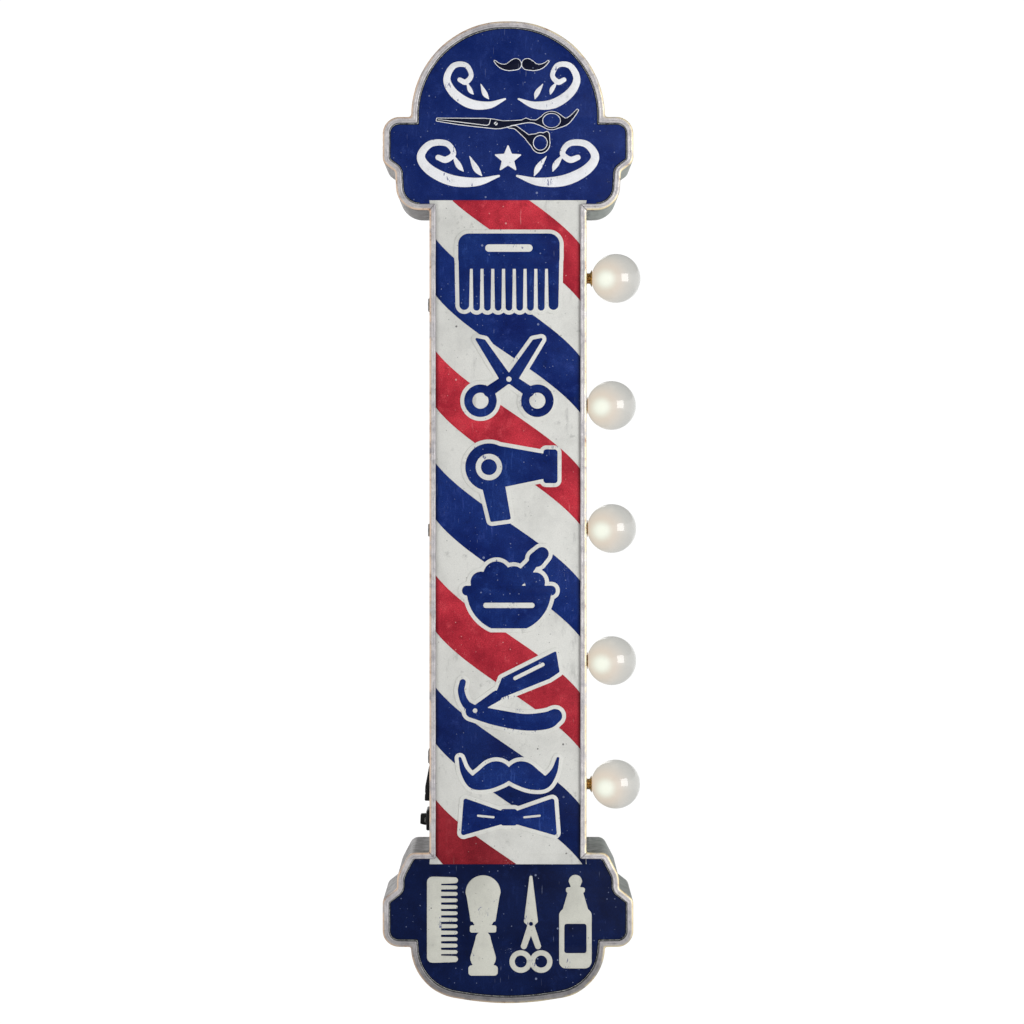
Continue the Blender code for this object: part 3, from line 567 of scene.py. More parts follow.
def corner_samples(before, corner, after, fractions=None):
    """(point, inward) along one rounded corner of an outline that runs clockwise.

    A point's place at any depth of the hem is point + inward * depth. In a tight inside corner the
    hem's two halves meet in a mitre, so there the inward vectors lean towards it.
    """
    here, radius = Vector(corner[:2]), corner[2]
    arriving = (here - Vector(before[:2])).normalized()
    leaving = (Vector(after[:2]) - here).normalized()
    turn = math.atan2(arriving.x * leaving.y - arriving.y * leaving.x, arriving.dot(leaving))
    side = math.copysign(1.0, turn)
    start = here - arriving * radius * math.tan(abs(turn) / 2)
    centre = start + left_of(arriving) * side * radius
    mitre = -(left_of(arriving) + left_of(leaving)) / (1 + arriving.dot(leaving))
    if fractions is None:
        pieces = max(3, math.ceil(abs(turn) / ARC_STEP), math.ceil(abs(turn) * radius / LONGEST_STEP))
        pieces += pieces % 2
        fractions = [i / pieces for i in range(pieces + 1)]
    samples = []
    for fraction in fractions:
        heading = Matrix.Rotation(turn * fraction, 2) @ arriving
        normal = -left_of(heading)
        point = centre + normal * side * radius
        inward = normal
        if side > 0 and radius <= NOTCH_RADIUS:
            inside = here + mitre * HEM_WIDTH + (normal - mitre) * NOTCH_INSIDE
            inward = (inside - point) / HEM_WIDTH
        samples.append((point, inward))
    return samples


def mirrored(corners):
    return [(-x, z, radius) for x, z, radius in reversed(corners)]


def outline_runs():
    """The outline in four runs, split at the open mitres: head, lamp side, base and hanger side."""
    right = DOME_AND_HEAD + SHAFT_CORNERS + BASE
    corners = right + [BASE_MIDDLE] + mirrored(right)
    mitred = SHAFT_CORNERS + mirrored(SHAFT_CORNERS)
    runs = [[]]
    for i, corner in enumerate(corners):
        following = corners[(i + 1) % len(corners)]
        if corner in mitred:
            samples = corner_samples(corners[i - 1], corner, following, MITRE)
            runs[-1] += samples[:2]
            runs.append(samples[2:])
        else:
            runs[-1] += corner_samples(corners[i - 1], corner, following)
    runs[0] = runs.pop() + runs[0]
    return runs


def dense(run):
    """The run with its straight stretches cut into short lengths."""
    filled = [run[0]]
    for (start, inward), (end, following) in zip(run, run[1:]):
        steps = max(1, round((end - start).length / LONGEST_STEP))
        for i in range(1, steps + 1):
            filled.append((start.lerp(end, i / steps), inward.lerp(following, i / steps)))
    return filled


def strip_section():
    """Half of the casing strip's section, from inside the hem to the web's middle.

    Each row is (distance inward, depth behind the rim's front, wear_and_shade): wear_and_shade is (rim, edge,
    recess, seam), where the recess is painted shadow.
    """
    rows = [(SHEET, HEM_THICK, (0, 0, 1, 0)), (HEM_WIDTH - INNER_ROUND, HEM_THICK, (0, 0, 1, 0))]
    for i in range(9):
        angle = math.pi * i / 8 - math.pi / 2
        inward = HEM_WIDTH - INNER_ROUND + INNER_ROUND * math.cos(angle)
        behind = HEM_THICK / 2 - HEM_THICK / 2 * math.sin(angle)
        rows.append((inward, behind, (1, 0, max(0.0, 1.0 - i / 6.5), 0)))
    rows += [(2.95, 0.02, (1, 0, 0, 0)), (2.72, 0.04, (1, 0, 0, 0.4)), (2.56, SEAM_DEPTH, (1, 0, 0, 1))]
    rows += [(2.40, SEAM_DEPTH, (1, 0, 0, 1)), (2.24, 0.04, (1, 0, 0, 0.4)), (2.0, 0.0, (1, 0, 0, 0))]
    for i in range(10):
        angle = math.pi / 2 * i / 9
        inward = OUTER_ROUND * (1 - math.sin(angle))
        behind = OUTER_ROUND * (1 - math.cos(angle))
        gold = math.exp(-(((inward - GOLD_PLACE) / GOLD_SPREAD) ** 2))
        rows.append((inward, behind, (1.0 if i < 8 else 0.6, gold, 0, 0)))
    rows += [(0.0, behind, (0, 0, 0, 0)) for behind in (2.2, 6.0, 14.0, 26.0)]
    return rows


def strip_mesh(name, run):
    """The channel strip along a run, slightly uneven as hand-folded sheet is."""
    half = strip_section()
    section = half + [(n, DEPTH - behind, wear_and_shade) for n, behind, wear_and_shade in reversed(half)]
    count = len(section)
    bm = bmesh.new()
    layer = bm.verts.layers.float_color.new("wear_and_shade")
    rings = []
    travelled = 0.0
    previous = run[0][0]
    for point, inward in run:
        travelled += (point - previous).length
        previous = point
        ring = []
        for n, behind, wear_and_shade in section:
            side = 1.0 if behind < DEPTH / 2 else -1.0
            seed = Vector((travelled / 9.0, side * 7.3, point.x * 0.02))
            on_rim = 1.0 if wear_and_shade[0] or wear_and_shade[2] else 0.15
            sway = 0.11 * (1 + noise.noise(seed)) * on_rim
            lift = 0.09 * (1 + noise.noise(seed * 1.7 + Vector((0, 3.1, 0)))) * on_rim
            place = point + inward * (n + sway)
            y = FACE_Y + (behind + lift * side) * MM
            vert = bm.verts.new((SHAFT_X + place.x * MM, y, place.y * MM))
            vert[layer] = wear_and_shade
            ring.append(vert)
        rings.append(ring)
    for ring, following in zip(rings, rings[1:]):
        for i in range(count):
            j = (i + 1) % count
            bm.faces.new((ring[i], ring[j], following[j], following[i]))
    bm.faces.new(rings[0])
    bm.faces.new(reversed(rings[-1]))
    return mesh_from(name, bm)


CUTTER_REACH = 4.0
FERRULE_HOLE_RADIUS = 2.8
OPENING_HALF_SIZES = (("battery_box", 27.3, 11.5), ("switch_bezel", 6.7, 4.3))  # along y and z


def carve(obj, cutters):
    """Cuts solid boxes or rods out of a wall, and marks the new edges as plain web."""
    for mesh in cutters:
        tool = placed("cutter", mesh)
        modifier = obj.modifiers.new("hole", "BOOLEAN")
        modifier.operation = "DIFFERENCE"
        modifier.object = tool
        result = final_mesh(obj)
        obj.modifiers.clear()
        old = obj.data
        obj.data = result
        bpy.data.meshes.remove(old)
        bpy.data.objects.remove(tool)
    wear_and_shade = obj.data.attributes["wear_and_shade"].data
    for vert in obj.data.vertices:
        if abs(vert.co.y) < (DEPTH / 2 - WEB_START) * MM:
            wear_and_shade[vert.index].color = (0, 0, 0, 0)


def rod(at, radius):
    reach = CUTTER_REACH
    return turned("rod", [(-reach, 0), (-reach, radius), (reach, radius), (reach, 0)], at, 32)


def block_mesh(low, high):
    bm = bmesh.new()
    bmesh.ops.create_cube(bm, size=1.0)
    bmesh.ops.scale(bm, vec=high - low, verts=bm.verts)
    bmesh.ops.translate(bm, vec=(low + high) / 2, verts=bm.verts)
    return mesh_from("block", bm)


def middle(node):
    low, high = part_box(node)
    return (low + high) / 2


def casing():
    head, lamp_side, base, hanger_side = (dense(run) for run in outline_runs())
    lamp_x, hanger_x = (SHAFT_X + side * SHAFT_HALF_WIDTH * MM for side in (1, -1))
    holes = [rod((lamp_x, 0, middle(f"ferrule_{i}").z), FERRULE_HOLE_RADIUS) for i in range(1, 6)]
    openings = []
    for node, half_y, half_z in OPENING_HALF_SIZES:
        centre = Vector((hanger_x, 0, middle(node).z))
        half = Vector((3, half_y, half_z)) * MM
        openings.append(block_mesh(centre - half, centre + half))
    strips = (("head_band", head, []), ("base_band", base, []))
    strips += (("lamp_side_wall", lamp_side, holes), ("hanger_side_wall", hanger_side, openings))
    for name, run, cutters in strips:
        strip = piece("rolled_" + name, strip_mesh(name, run), "zinc")
        if cutters:
            carve(strip, cutters)
        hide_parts(name)


# Flat shapes. Each is a function of arrays x and z that gives a signed distance, negative inside.


def disc(cx, cz, radius):
    return lambda x, z: np.hypot(x - cx, z - cz) - radius


def hoop(cx, cz, radius, hole):
    return without(disc(cx, cz, radius), disc(cx, cz, hole))


def oval(cx, cz, half_x, half_z):
    return lambda x, z: np.hypot(x - cx, (z - cz) * half_x / half_z) - half_x


def bar(ax, az, bx, bz, start, end=None):
    """A line with round ends whose radius goes from start to end."""
    end = start if end is None else end
    dx, dz = bx - ax, bz - az
    length = dx * dx + dz * dz

    def distance(x, z):
        along = np.clip(((x - ax) * dx + (z - az) * dz) / length, 0, 1)
        return np.hypot(x - ax - along * dx, z - az - along * dz) - (start + (end - start) * along)

    return distance


def block(cx, cz, half_x, half_z, corner=0.0):
    def distance(x, z):
        over_x = np.abs(x - cx) - half_x + corner
        over_z = np.abs(z - cz) - half_z + corner
        outside = np.hypot(np.maximum(over_x, 0), np.maximum(over_z, 0))
        return outside + np.minimum(np.maximum(over_x, over_z), 0) - corner

    return distance


def plate(corners, rounding=0.0):
    """A polygon with its corners rounded outwards."""
    pairs = list(zip(corners, corners[1:] + corners[:1]))

    def distance(x, z):
        nearest = np.full_like(x, np.inf)
        inside = np.zeros(x.shape, bool)
        for (ax, az), (bx, bz) in pairs:
            dx, dz = bx - ax, bz - az
            along = np.clip(((x - ax) * dx + (z - az) * dz) / (dx * dx + dz * dz), 0, 1)
            nearest = np.minimum(nearest, np.hypot(x - ax - along * dx, z - az - along * dz))
            if az != bz:
                crosses = (az > z) != (bz > z)
                inside ^= crosses & (x < ax + (z - az) * dx / dz)
        return np.where(inside, -nearest, nearest) - rounding

    return distance


STEPS_PER_SPAN = 8


def smooth_path(points):
    """Points along a Catmull-Rom curve. Each is (x, z, radius)."""
    rows = [np.array(point, float) for point in points]
    ends = [2 * rows[0] - rows[1]] + rows + [2 * rows[-1] - rows[-2]]
    path = []
    for a, b, c, d in zip(ends, ends[1:], ends[2:], ends[3:]):
        for i in range(STEPS_PER_SPAN):
            t = i / STEPS_PER_SPAN
            bend = (2 * a - 5 * b + 4 * c - d) * t * t + (3 * b - a - 3 * c + d) * t**3
            path.append(0.5 * (2 * b + (c - a) * t + bend))
    return path + [rows[-1]]


def stroke(points):
    """A brush stroke through (x, z, radius) points."""
    path = smooth_path(points)
    return union(*[bar(*a[:2], *b[:2], max(a[2], 0.2), max(b[2], 0.2)) for a, b in zip(path, path[1:])])


def union(*shapes):
    def distance(x, z):
        nearest = shapes[0](x, z)
        for shape in shapes[1:]:
            nearest = np.minimum(nearest, shape(x, z))
        return nearest

    return distance


def without(shape, *tools):
    return lambda x, z: np.maximum(shape(x, z), -union(*tools)(x, z))


def within(shape, limit):
    return lambda x, z: np.maximum(shape(x, z), limit(x, z))


def grown(shape, amount):
    return lambda x, z: shape(x, z) - amount


def moved(shape, dx, dz, turn=0.0):
    """The shape turned anticlockwise by this many degrees, and moved."""
    cos, sin = math.cos(math.radians(turn)), math.sin(math.radians(turn))

    def distance(x, z):
        u, v = x - dx, z - dz
        return shape(u * cos + v * sin, v * cos - u * sin)

    return distance


def paired(shape):
    """The shape and its mirror image."""
    return lambda x, z: np.minimum(shape(x, z), shape(-x, z))


def contours(shape, low, high, step=0.4):
    """The closed loops where a shape's distance is zero, by marching squares."""
    xs = np.arange(low[0], high[0] + step, step)
    zs = np.arange(low[1], high[1] + step, step)
    field = shape(*np.meshgrid(xs, zs, indexing="ij"))
    inside = field < 0
    total = sum(inside[i : i - 1 or None, j : j - 1 or None].astype(int) for i in (0, 1) for j in (0, 1))
    links = {}
    for i, j in np.argwhere((total > 0) & (total < 4)).tolist():
        ring = [(i, j), (i + 1, j), (i + 1, j + 1), (i, j + 1)]
        sides = zip(ring, ring[1:] + ring[:1])
        crossed = [(min(a, b), max(a, b)) for a, b in sides if inside[a] != inside[b]]
        for one, other in zip(crossed[::2], crossed[1::2]):
            links.setdefault(one, []).append(other)
            links.setdefault(other, []).append(one)
    loops = []
    while links:
        here = next(iter(links))
        loop = []
        while here in links:
            a, b = here
            share = field[a] / (field[a] - field[b])
            start, end = np.array((xs[a[0]], zs[a[1]])), np.array((xs[b[0]], zs[b[1]]))
            loop.append(start + (end - start) * share)
            onward = [side for side in links.pop(here) if side in links]
            here = onward[0] if onward else None
        if len(loop) > 8:
            loops.append(thinned(np.array(loop)))
    return loops


def thinned(loop, tolerance=0.025):
    """The loop without the points that lie on a straight line between their neighbours."""
    keep = np.zeros(len(loop) + 1, bool)
    closed = np.vstack([loop, loop[:1]])
    half = len(loop) // 2
    keep[[0, half, len(loop)]] = True
    spans = [(0, half), (half, len(loop))]
    while spans:
        first, last = spans.pop()
        if last - first < 2:
            continue
        chord = closed[last] - closed[first]
        offsets = closed[first + 1 : last] - closed[first]
        reach = np.abs(chord[0] * offsets[:, 1] - chord[1] * offsets[:, 0]) / max(np.hypot(*chord), 1e-9)
        worst = int(np.argmax(reach))
        if reach[worst] > tolerance:
            middle_index = first + 1 + worst
            keep[middle_index] = True
            spans += [(first, middle_index), (middle_index, last)]
    return closed[:-1][keep[:-1]]


def loop_area(loop):
    x, z = loop[:, 0], loop[:, 1]
    return 0.5 * abs(np.dot(x, np.roll(z, -1)) - np.dot(z, np.roll(x, -1)))


def outer_loops(loops):
    """Only the loops that lie inside no other, so that a shape's openings are filled."""
    kept = []
    for loop in sorted(loops, key=loop_area, reverse=True):
        x, z = loop[0]
        probe = (np.array([[x]]), np.array([[z]]))
        if all(plate([tuple(p) for p in other])(*probe)[0, 0] > 0 for other in kept):
            kept.append(loop)
    return kept


def relief_mesh(name, loops, half_thickness, rounding):
    """A flat solid with rounded edges, in the (x, z) plane, centred on its own mid plane."""
    curve = bpy.data.curves.new(name, "CURVE")
    curve.dimensions = "2D"
    curve.fill_mode = "BOTH"
    curve.extrude = (half_thickness - rounding) * MM
    curve.bevel_depth = rounding * MM
    curve.bevel_resolution = 1
    curve.offset = -rounding * MM
    for loop in loops:
        spline = curve.splines.new("POLY")
        spline.points.add(len(loop) - 1)
        spline.use_cyclic_u = True
        for target, (x, z) in zip(spline.points, loop):
            target.co = (x * MM, z * MM, 0.0, 1.0)
    obj = placed(name, curve)
    mesh = final_mesh(obj)
    bpy.data.objects.remove(obj)
    bm = bmesh.new()
    bm.from_mesh(mesh)
    bmesh.ops.remove_doubles(bm, verts=bm.verts, dist=1e-7)
    bmesh.ops.recalc_face_normals(bm, faces=bm.faces)
    bm.to_mesh(mesh)
    bm.free()
    return mesh


def printed(name, loops, height, finish, half_thickness=INK_HALF_THICKNESS, rounding=INK_ROUND):
    """The same relief on both faces, its mid plane this far in front of the panel's face."""
    y = FACE_Y + (PANEL_DEPTH - height) * MM
    to_front = Matrix(((1, 0, 0, SHAFT_X), (0, 0, -1, y), (0, 1, 0, 0), (0, 0, 0, 1)))
    to_back = Matrix.Translation((2 * SHAFT_X, 0, 0)) @ Matrix.Rotation(math.pi, 4, "Z") @ to_front
    mesh = relief_mesh(name, loops, half_thickness, rounding)
    made = []
    for side, place in (("front", to_front), ("back", to_back)):
        copy = mesh.copy()
        copy.transform(place)
        made.append(piece(f"{side}_{name}", copy, finish))
    bpy.data.meshes.remove(mesh)
    return made


# Motifs, each drawn about its own middle in a space of about 65 by 52 mm


def comb():
    teeth = [bar(x, 8, x, -22.5, 2.6, 2.2) for x in np.linspace(-21, 21, 7)]
    ends = [bar(side * 29, 10, side * 29, -21, 3.8, 3.2) for side in (-1, 1)]
    spine = block(0, 14, 33, 11.5, 7)
    return without(union(spine, *teeth, *ends), bar(-13, 16, 13, 16, 2.4))


def open_scissors():
    blade = plate([(-3.5, -3), (3.5, -4), (21, 25), (16, 24)], 0.8)
    arm = union(blade, bar(0, 0, -13, -9, 3.2, 3.6), hoop(-18.5, -15, 10.6, 5.2))
    return without(paired(arm), disc(0, -1, 1.7))


def hair_dryer():
    barrel = disc(-13, 10, 15.4)
    nozzle = plate([(-12, 24), (22, 18), (22, 3), (-12, -4)], 0.8)
    mouth = block(27, 10.5, 4.6, 11, 2)
    handle = plate([(-17, 0), (-4, 0), (0, -23), (-11, -24.5)], 1.2)
    return without(union(barrel, nozzle, mouth, handle), hoop(-13, 10, 8.6, 5.2))


def lather_bowl():
    bowl = within(disc(0, -2, 27.5), block(0, -14, 40, 13))
    rim = block(0, -2.4, 30.5, 3.2, 3)
    foot = block(0, -24.2, 13, 2.6, 1.6)
    foam = union(disc(-18, 3, 7), disc(-8, 8, 8.6), disc(3, 6, 7.5), disc(17, 3, 6.5))
    handle = union(bar(8, 6, 17, 17, 4.4, 3.0), bar(18, 18, 21.5, 21.5, 5.0, 4.4))
    return union(without(bowl, bar(-15, -12, 15, -12, 1.7)), rim, foot, foam, handle)


def open_razor():
    shank = bar(-22, -12, -8, -3, 2.6, 3.6)
    blade = plate([(-9, -5), (-4, 8), (30, 25), (32, 13), (26, 9)], 0.9)
    tail = stroke([(-22, -12, 2.8), (-28, -8, 2.6), (-31, 0, 2.2), (-30, 6, 2.0)])
    grip = stroke([(-24, -13, 4.2), (-8, -17, 5.2), (10, -20, 5.4), (24, -19, 5.6), (30, -16, 4.6)])
    return without(union(shank, blade, tail, grip), disc(-22, -12.5, 1.5), bar(4, 8.5, 22, 17.5, 1.2))


def moustache(width, height):
    """Two halves from the middle out to the curled tips."""
    rows = [(0.05, -0.05, 0.13), (0.25, -0.02, 0.26), (0.48, -0.14, 0.22), (0.72, -0.20, 0.13)]
    rows += [(0.90, 0.02, 0.07), (0.98, 0.30, 0.03)]
    return paired(stroke([(x * width / 2, z * height, radius * height) for x, z, radius in rows]))


def fine_moustache():
    """Two separate tufts that taper to lifted tips."""
    rows = [(3.8, -0.9, 3.5), (6.2, -1.8, 2.9), (8.6, -2.7, 2.1), (12.2, -2.5, 1.35), (15.3, -0.9, 0.8)]
    return paired(stroke(rows + [(17.4, 1.1, 0.3)]))


def dapper():
    """A moustache over a bow tie."""
    wing = plate([(5, -11.5), (28, -3.5), (29.5, -24), (5, -17)], 1.6)
    tie = union(paired(wing), block(0, -14, 5.6, 5.4, 2.2))
    tie = without(tie, paired(bar(10, -14, 20, -13, 0.7)))
    return union(moved(moustache(65, 31), 0, 15), tie)


# Tall motifs for the base


def tall_comb():
    teeth = [bar(-4, z, 8.5, z, 1.45, 1.25) for z in np.linspace(-21, 21, 11)]
    ends = [bar(-4, side * 25.6, 8, side * 25.6, 2.4, 2.0) for side in (-1, 1)]
    return union(block(-5.6, 0, 4.6, 28, 3.6), *teeth, *ends)


def tall_brush():
    hair = union(bar(0, 6, 0, 22, 7.4, 11.4), plate([(-10, 20), (10, 20), (7.4, 4), (-7.4, 4)], 0.8))
    waist = block(0, -1.5, 8.6, 2.4, 1.2)
    handle = union(bar(0, -8, 0, -20, 5.0, 8.4), block(0, -28.5, 9.6, 3.4, 2.2))
    return union(hair, waist, handle)


def tall_scissors():
    blade = plate([(0.2, 33), (3.8, 4), (-0.4, 0)], 0.8)
    arm = union(blade, bar(1.6, 6, -4.6, -12, 2.4, 2.0), hoop(-6.6, -22, 7.4, 3.9))
    return without(paired(arm), disc(0, 2.5, 1.3))


def tall_bottle():
    body = block(0, -10, 10.6, 19.5, 4.5)
    neck = plate([(-4, 20), (4, 20), (7.2, 9), (-7.2, 9)], 1.0)
    stopper = union(block(0, 21.5, 6.2, 1.8, 1.4), bar(0, 24, 0, 27, 3.2, 4.4))
    label = block(0, -10, 7.2, 9.5, 1.6)
    return without(union(body, neck, stopper), label)


# Line drawings and brushwork for the head


def closed_scissors():
    """Hairdresser's scissors lying on their side, points to the left."""
    upper_edge = [(-46.0, 268.2), (-15, 268.0), (-10, 267.6), (-4.4, 266.6), (1.4, 265.9)]
    lower_edge = [(1.4, 263.5), (-4.4, 262.3), (-8, 262.0), (-22, 263.5), (-32.6, 264.8), (-46.2, 267.0)]
    blades = plate(upper_edge + lower_edge, 0.2)
    arm_up = stroke([(-5, 265, 1.6), (2, 265.3, 1.4), (9, 266.2, 0.95), (14, 266.6, 0.75), (18, 266.2, 0.85)])
    flare = [(17.5, 266.8), (18.8, 267.1), (20.3, 268.3), (22.9, 269.9), (25, 262.3)]
    flare += [(20.5, 264.4), (17.5, 265.5)]
    bump = plate([(7.8, 266.4), (11.7, 268.2), (15.2, 266.8)], 0.2)
    arm_low = [(0.5, 262.8, 0.4), (4.6, 262.6, 0.9), (7, 260.9, 1.0), (10.2, 258.3, 1.3), (13, 255.9, 1.5)]
    web = [(12, 257), (19.2, 257.9), (22.7, 258.2), (25.4, 259.4), (26.3, 258.2), (26.6, 252.5)]
    web += [(16.8, 249.2), (12.2, 254.8)]
    heel = [(34, 270.4), (35.5, 269.1), (37.2, 268.1), (40, 268.6), (38, 265), (33, 263)]
    tail = [(31.8, 263.5, 1.4), (37.2, 265.9, 1.8), (40.7, 268.5, 1.2)]
    tail += [(43.5, 271.6, 0.8), (45.1, 273.7, 0.5)]
    rings = union(oval(28.3, 267, 7.1, 5.8), oval(21.1, 252.5, 6.0, 6.5))
    holes = union(oval(28.3, 267, 6.0, 4.8), oval(21.0, 252.5, 4.8, 5.0))
    parting = union(bar(-45.5, 267.6, -32.6, 266.1, 0.2, 0.26), bar(-32.6, 266.1, -13.8, 263.8, 0.26))
    shoulder = union(bar(-13.8, 263.8, -12.2, 264.6, 0.26), bar(-12.2, 264.6, -11.4, 267.7, 0.26))
    crossing = bar(-1, 262.7, 5.6, 264.2, 0.22)
    screw = without(disc(-7.9, 265, 1.2), bar(-8.5, 264.4, -7.3, 265.6, 0.24))
    joins = union(plate(flare, 0.2), plate(web, 0.4), plate(heel, 0.2))
    body = union(blades, arm_up, bump, stroke(arm_low), joins, stroke(tail), rings)
    return without(body, holes, parting, shoulder, crossing, screw)


def scroll(side, cx, cz, reach, rise, weight):
    """A brushed scroll that sets out from the middle and curls up and back at its outer end."""
    rows = [(0.10, 0.00, 0.25), (0.34, -0.16, 0.9), (0.62, -0.12, 1.2), (0.86, 0.16, 1.1), (0.96, 0.52, 0.9)]
    rows += [(0.86, 0.86, 0.75), (0.68, 0.88, 0.65), (0.60, 0.62, 0.6), (0.68, 0.44, 0.7), (0.77, 0.50, 0.6)]
    return stroke([(cx + side * x * reach, cz + z * rise, weight * radius) for x, z, radius in rows])


def leaf(x, z, length, turn, weight):
    return moved(stroke([(0, 0, 0.3), (length * 0.4, 0.6, weight), (length, 0, 0.3)]), x, z, turn)


def scroll_pair(cx, foot, reach, rise, weight, lean, leaves):
    """Two facing scrolls with leaves inside. A leaf is (out, up, length, weight)."""
    parts = []
    for side in (-1, 1):
        parts.append(scroll(side, cx, foot, reach, rise, weight))
        for out, up, length, thickness in leaves:
            parts.append(leaf(cx + side * out, foot + up, length, 90 - side * lean, thickness))
    return union(*parts)


def star():
    tips = []
    for i in range(10):
        angle = math.pi / 2 + math.tau * i / 10
        radius = 3.7 if i % 2 else 8.5
        tips.append((radius * math.cos(angle), radius * math.sin(angle)))
    return plate(tips, 0.5)


def stripe_loop(top):
    """One stripe between its top and bottom curves, clipped to the cream field."""
    half = SHAFT_HALF_WIDTH - 0.2
    xs = np.arange(-half, half + 0.01, 0.5)
    fall = STRIPE_DROP * np.arcsin(xs / STRIPE_REACH)
    upper = np.clip(top - fall, FIELD_BOTTOM, FIELD_TOP)
    lower = np.clip(top - STRIPE_HEIGHT - fall, FIELD_BOTTOM, FIELD_TOP)
    real = upper - lower > 0.3
    if not real.any():
        return None
    xs, upper, lower = xs[real], upper[real], lower[real]
    return thinned(np.vstack([np.column_stack([xs, upper]), np.column_stack([xs, lower])[::-1]]))


def band(run, outer, inner):
    """The loop between two distances inward from a run of the outline."""
    outside = [tuple(p + n * outer) for p, n in run]
    inside = [tuple(p + n * inner) for p, n in run]
    return np.array(outside + inside[::-1])


def panels():
    runs = outline_runs()
    whole = [tuple(p + n * PANEL_INSET) for run in runs for p, n in run]
    sheets = printed("sheet", [np.array(whole)], -0.4, "shaft_cream", 0.4, 0.02)
    for sheet, node in zip(sheets, ("front_panel", "back_panel")):
        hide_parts(node)

    # Blue fields: the head and base parts of the panel, each with a square notch for the cream field
    ends = (("head", runs[0], FIELD_TOP), ("base", runs[2], FIELD_BOTTOM))
    for name, run, edge in ends:
        inset = [tuple(p + n * PANEL_INSET) for p, n in run]
        side = math.copysign(SHAFT_HALF_WIDTH, edge)
        printed(f"{name}_field", [np.array(inset + [(side, edge), (-side, edge)])], 0.0, f"{name}_blue")
    # A dark ring where the print meets the rim, painted shadow with dark patina, with a pale edge line on it.
    for name, run, _ in ends:
        run = [(p, n) for p, n in run if abs(p.x) > SHAFT_HALF_WIDTH + 2 or abs(p.y) > HEAD_FOOT]
        printed(f"{name}_gutter", [band(run, 3.3, 5.3)], 0.08, "gutter_shadow")
        printed(f"{name}_edge_line", [band(run, 4.35, 4.70)], 0.3, "edge_line", 0.2, 0.12)

    stripes = {"blue": [], "red": []}
    for n in range(-4, 5):
        loop = stripe_loop(STRIPE_PHASE + n * STRIPE_PITCH)
        if loop is not None:
            stripes["red" if n % 2 else "blue"].append(loop)
    for colour, loops in stripes.items():
        printed(f"{colour}_stripes", loops, 0.0, f"stripe_{colour}")


def motifs():
    shapes = (comb(), open_scissors(), hair_dryer(), lather_bowl(), open_razor(), dapper())
    outlines, fills = [], []
    for shape, height in zip(shapes, MOTIF_CENTRES):
        drawn = moved(shape, MOTIF_SHIFT, height)
        low, high = (-42, height - 36), (42, height + 36)
        fills += contours(drawn, low, high)
        outlines += outer_loops(contours(grown(drawn, OUTLINE_WIDTH), low, high))
    printed("motif_outlines", outlines, 0.2, "motif_cream")
    printed("motifs", fills, 0.4, "motif_blue")

    tall = ((tall_comb(), -42.5, -252.4), (tall_brush(), -16.2, -256.9))
    tall += ((tall_scissors(), 14.9, -257.6), (tall_bottle(), 43.8, -254.6))
    loops = []
    for shape, x, z in tall:
        loops += contours(moved(shape, x, z), (x - 22, z - 40), (x + 22, z + 40))
    printed("base_motifs", loops, 0.2, "base_cream")

    low, high = (-70, 215), (70, 320)
    tools = union(closed_scissors(), moved(fine_moustache(), 8.8, 304.5))
    upper = scroll_pair(2.5, 281, 44, 25, 2.6, 28, [(15, 0, 11, 1.7), (25, 3, 9, 1.5)])
    lower = scroll_pair(0, 231, 59, 24, 3.0, 32, [(17, 0, 15, 2.0), (29, 3, 13, 1.9)])
    brushwork = union(upper, lower, moved(star(), 0, 242))
    printed("head_brushwork", contours(brushwork, low, high), 0.2, "head_white")
    printed("head_tool_lines", contours(grown(tools, TOOL_LINE), low, high, 0.3), 0.2, "head_white")
    printed("head_tools", contours(tools, low, high, 0.3), 0.4, "navy", 0.25, 0.1)


# Lamps

GLOBE_WALL = 1.2
GLOBE_MOUTH = 3.3  # radius of its opening
CHIP_SHIFT = Vector((-1.2, 0, -1.4)) * MM  # from the chip's dome to the middle of its glow


def lamp(number):
    globe_low, globe_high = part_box(f"globe_{number}")
    radius = max(globe_high.x - globe_low.x, globe_high.z - globe_low.z) / 2 / MM
    centre_z = middle(f"ferrule_{number}").z
    centre = Vector((globe_high.x - radius * MM, 0, centre_z))
    profile = []
    rings = 36
    for shell, order in ((radius, range(rings + 1)), (radius - GLOBE_WALL, range(rings, -1, -1))):
        opening = math.asin(GLOBE_MOUTH / shell)
        for i in order:
            angle = opening + (math.pi - opening) * i / rings
            ring = 0.0 if i == rings else shell * math.sin(angle)
            profile.append((-shell * math.cos(angle), ring))
    mesh = turned("globe", profile, centre, 72)
    led_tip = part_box(f"led_{number}")[1].x
    chip = Vector((led_tip, 0, centre_z)) + CHIP_SHIFT
    away = mesh.attributes.new("from_led", "FLOAT_VECTOR", "POINT")
    for vert in mesh.vertices:
        away.data[vert.index].vector = (vert.co - chip) * 100
    globe = piece(f"opal_globe_{number}", mesh, "globe", smooth=60)
    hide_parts(f"globe_{number}")

    ferrule_low, ferrule_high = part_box(f"ferrule_{number}")
    start, length = ferrule_low.x, (ferrule_high.x - ferrule_low.x) / MM
    turns = 6 if length > 3 else 4
    thread = [(length * (0.30 + 0.40 * i / turns), 3.75 if i % 2 else 3.25) for i in range(turns + 1)]
    outer = [(0.0, 5.6), (0.15, 5.95), (0.45, 5.95), (0.7, 5.6), (length * 0.24, 4.4)]
    outer += thread + [(length * 0.78, 4.2), (length - 0.35, 5.4), (length - 0.12, 5.6), (length, 5.45)]
    inner = [(length - 0.1, 5.0), (length * 0.55, 2.85), (0.0, 2.85)]
    mesh = turned("ferrule", outer + inner, (start, 0, centre_z), 48)
    ferrule = piece(f"turned_ferrule_{number}", mesh, "brass", smooth=50)
    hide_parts(f"ferrule_{number}")


# Small parts that keep their CAD shape, with rounded edges or only a finish


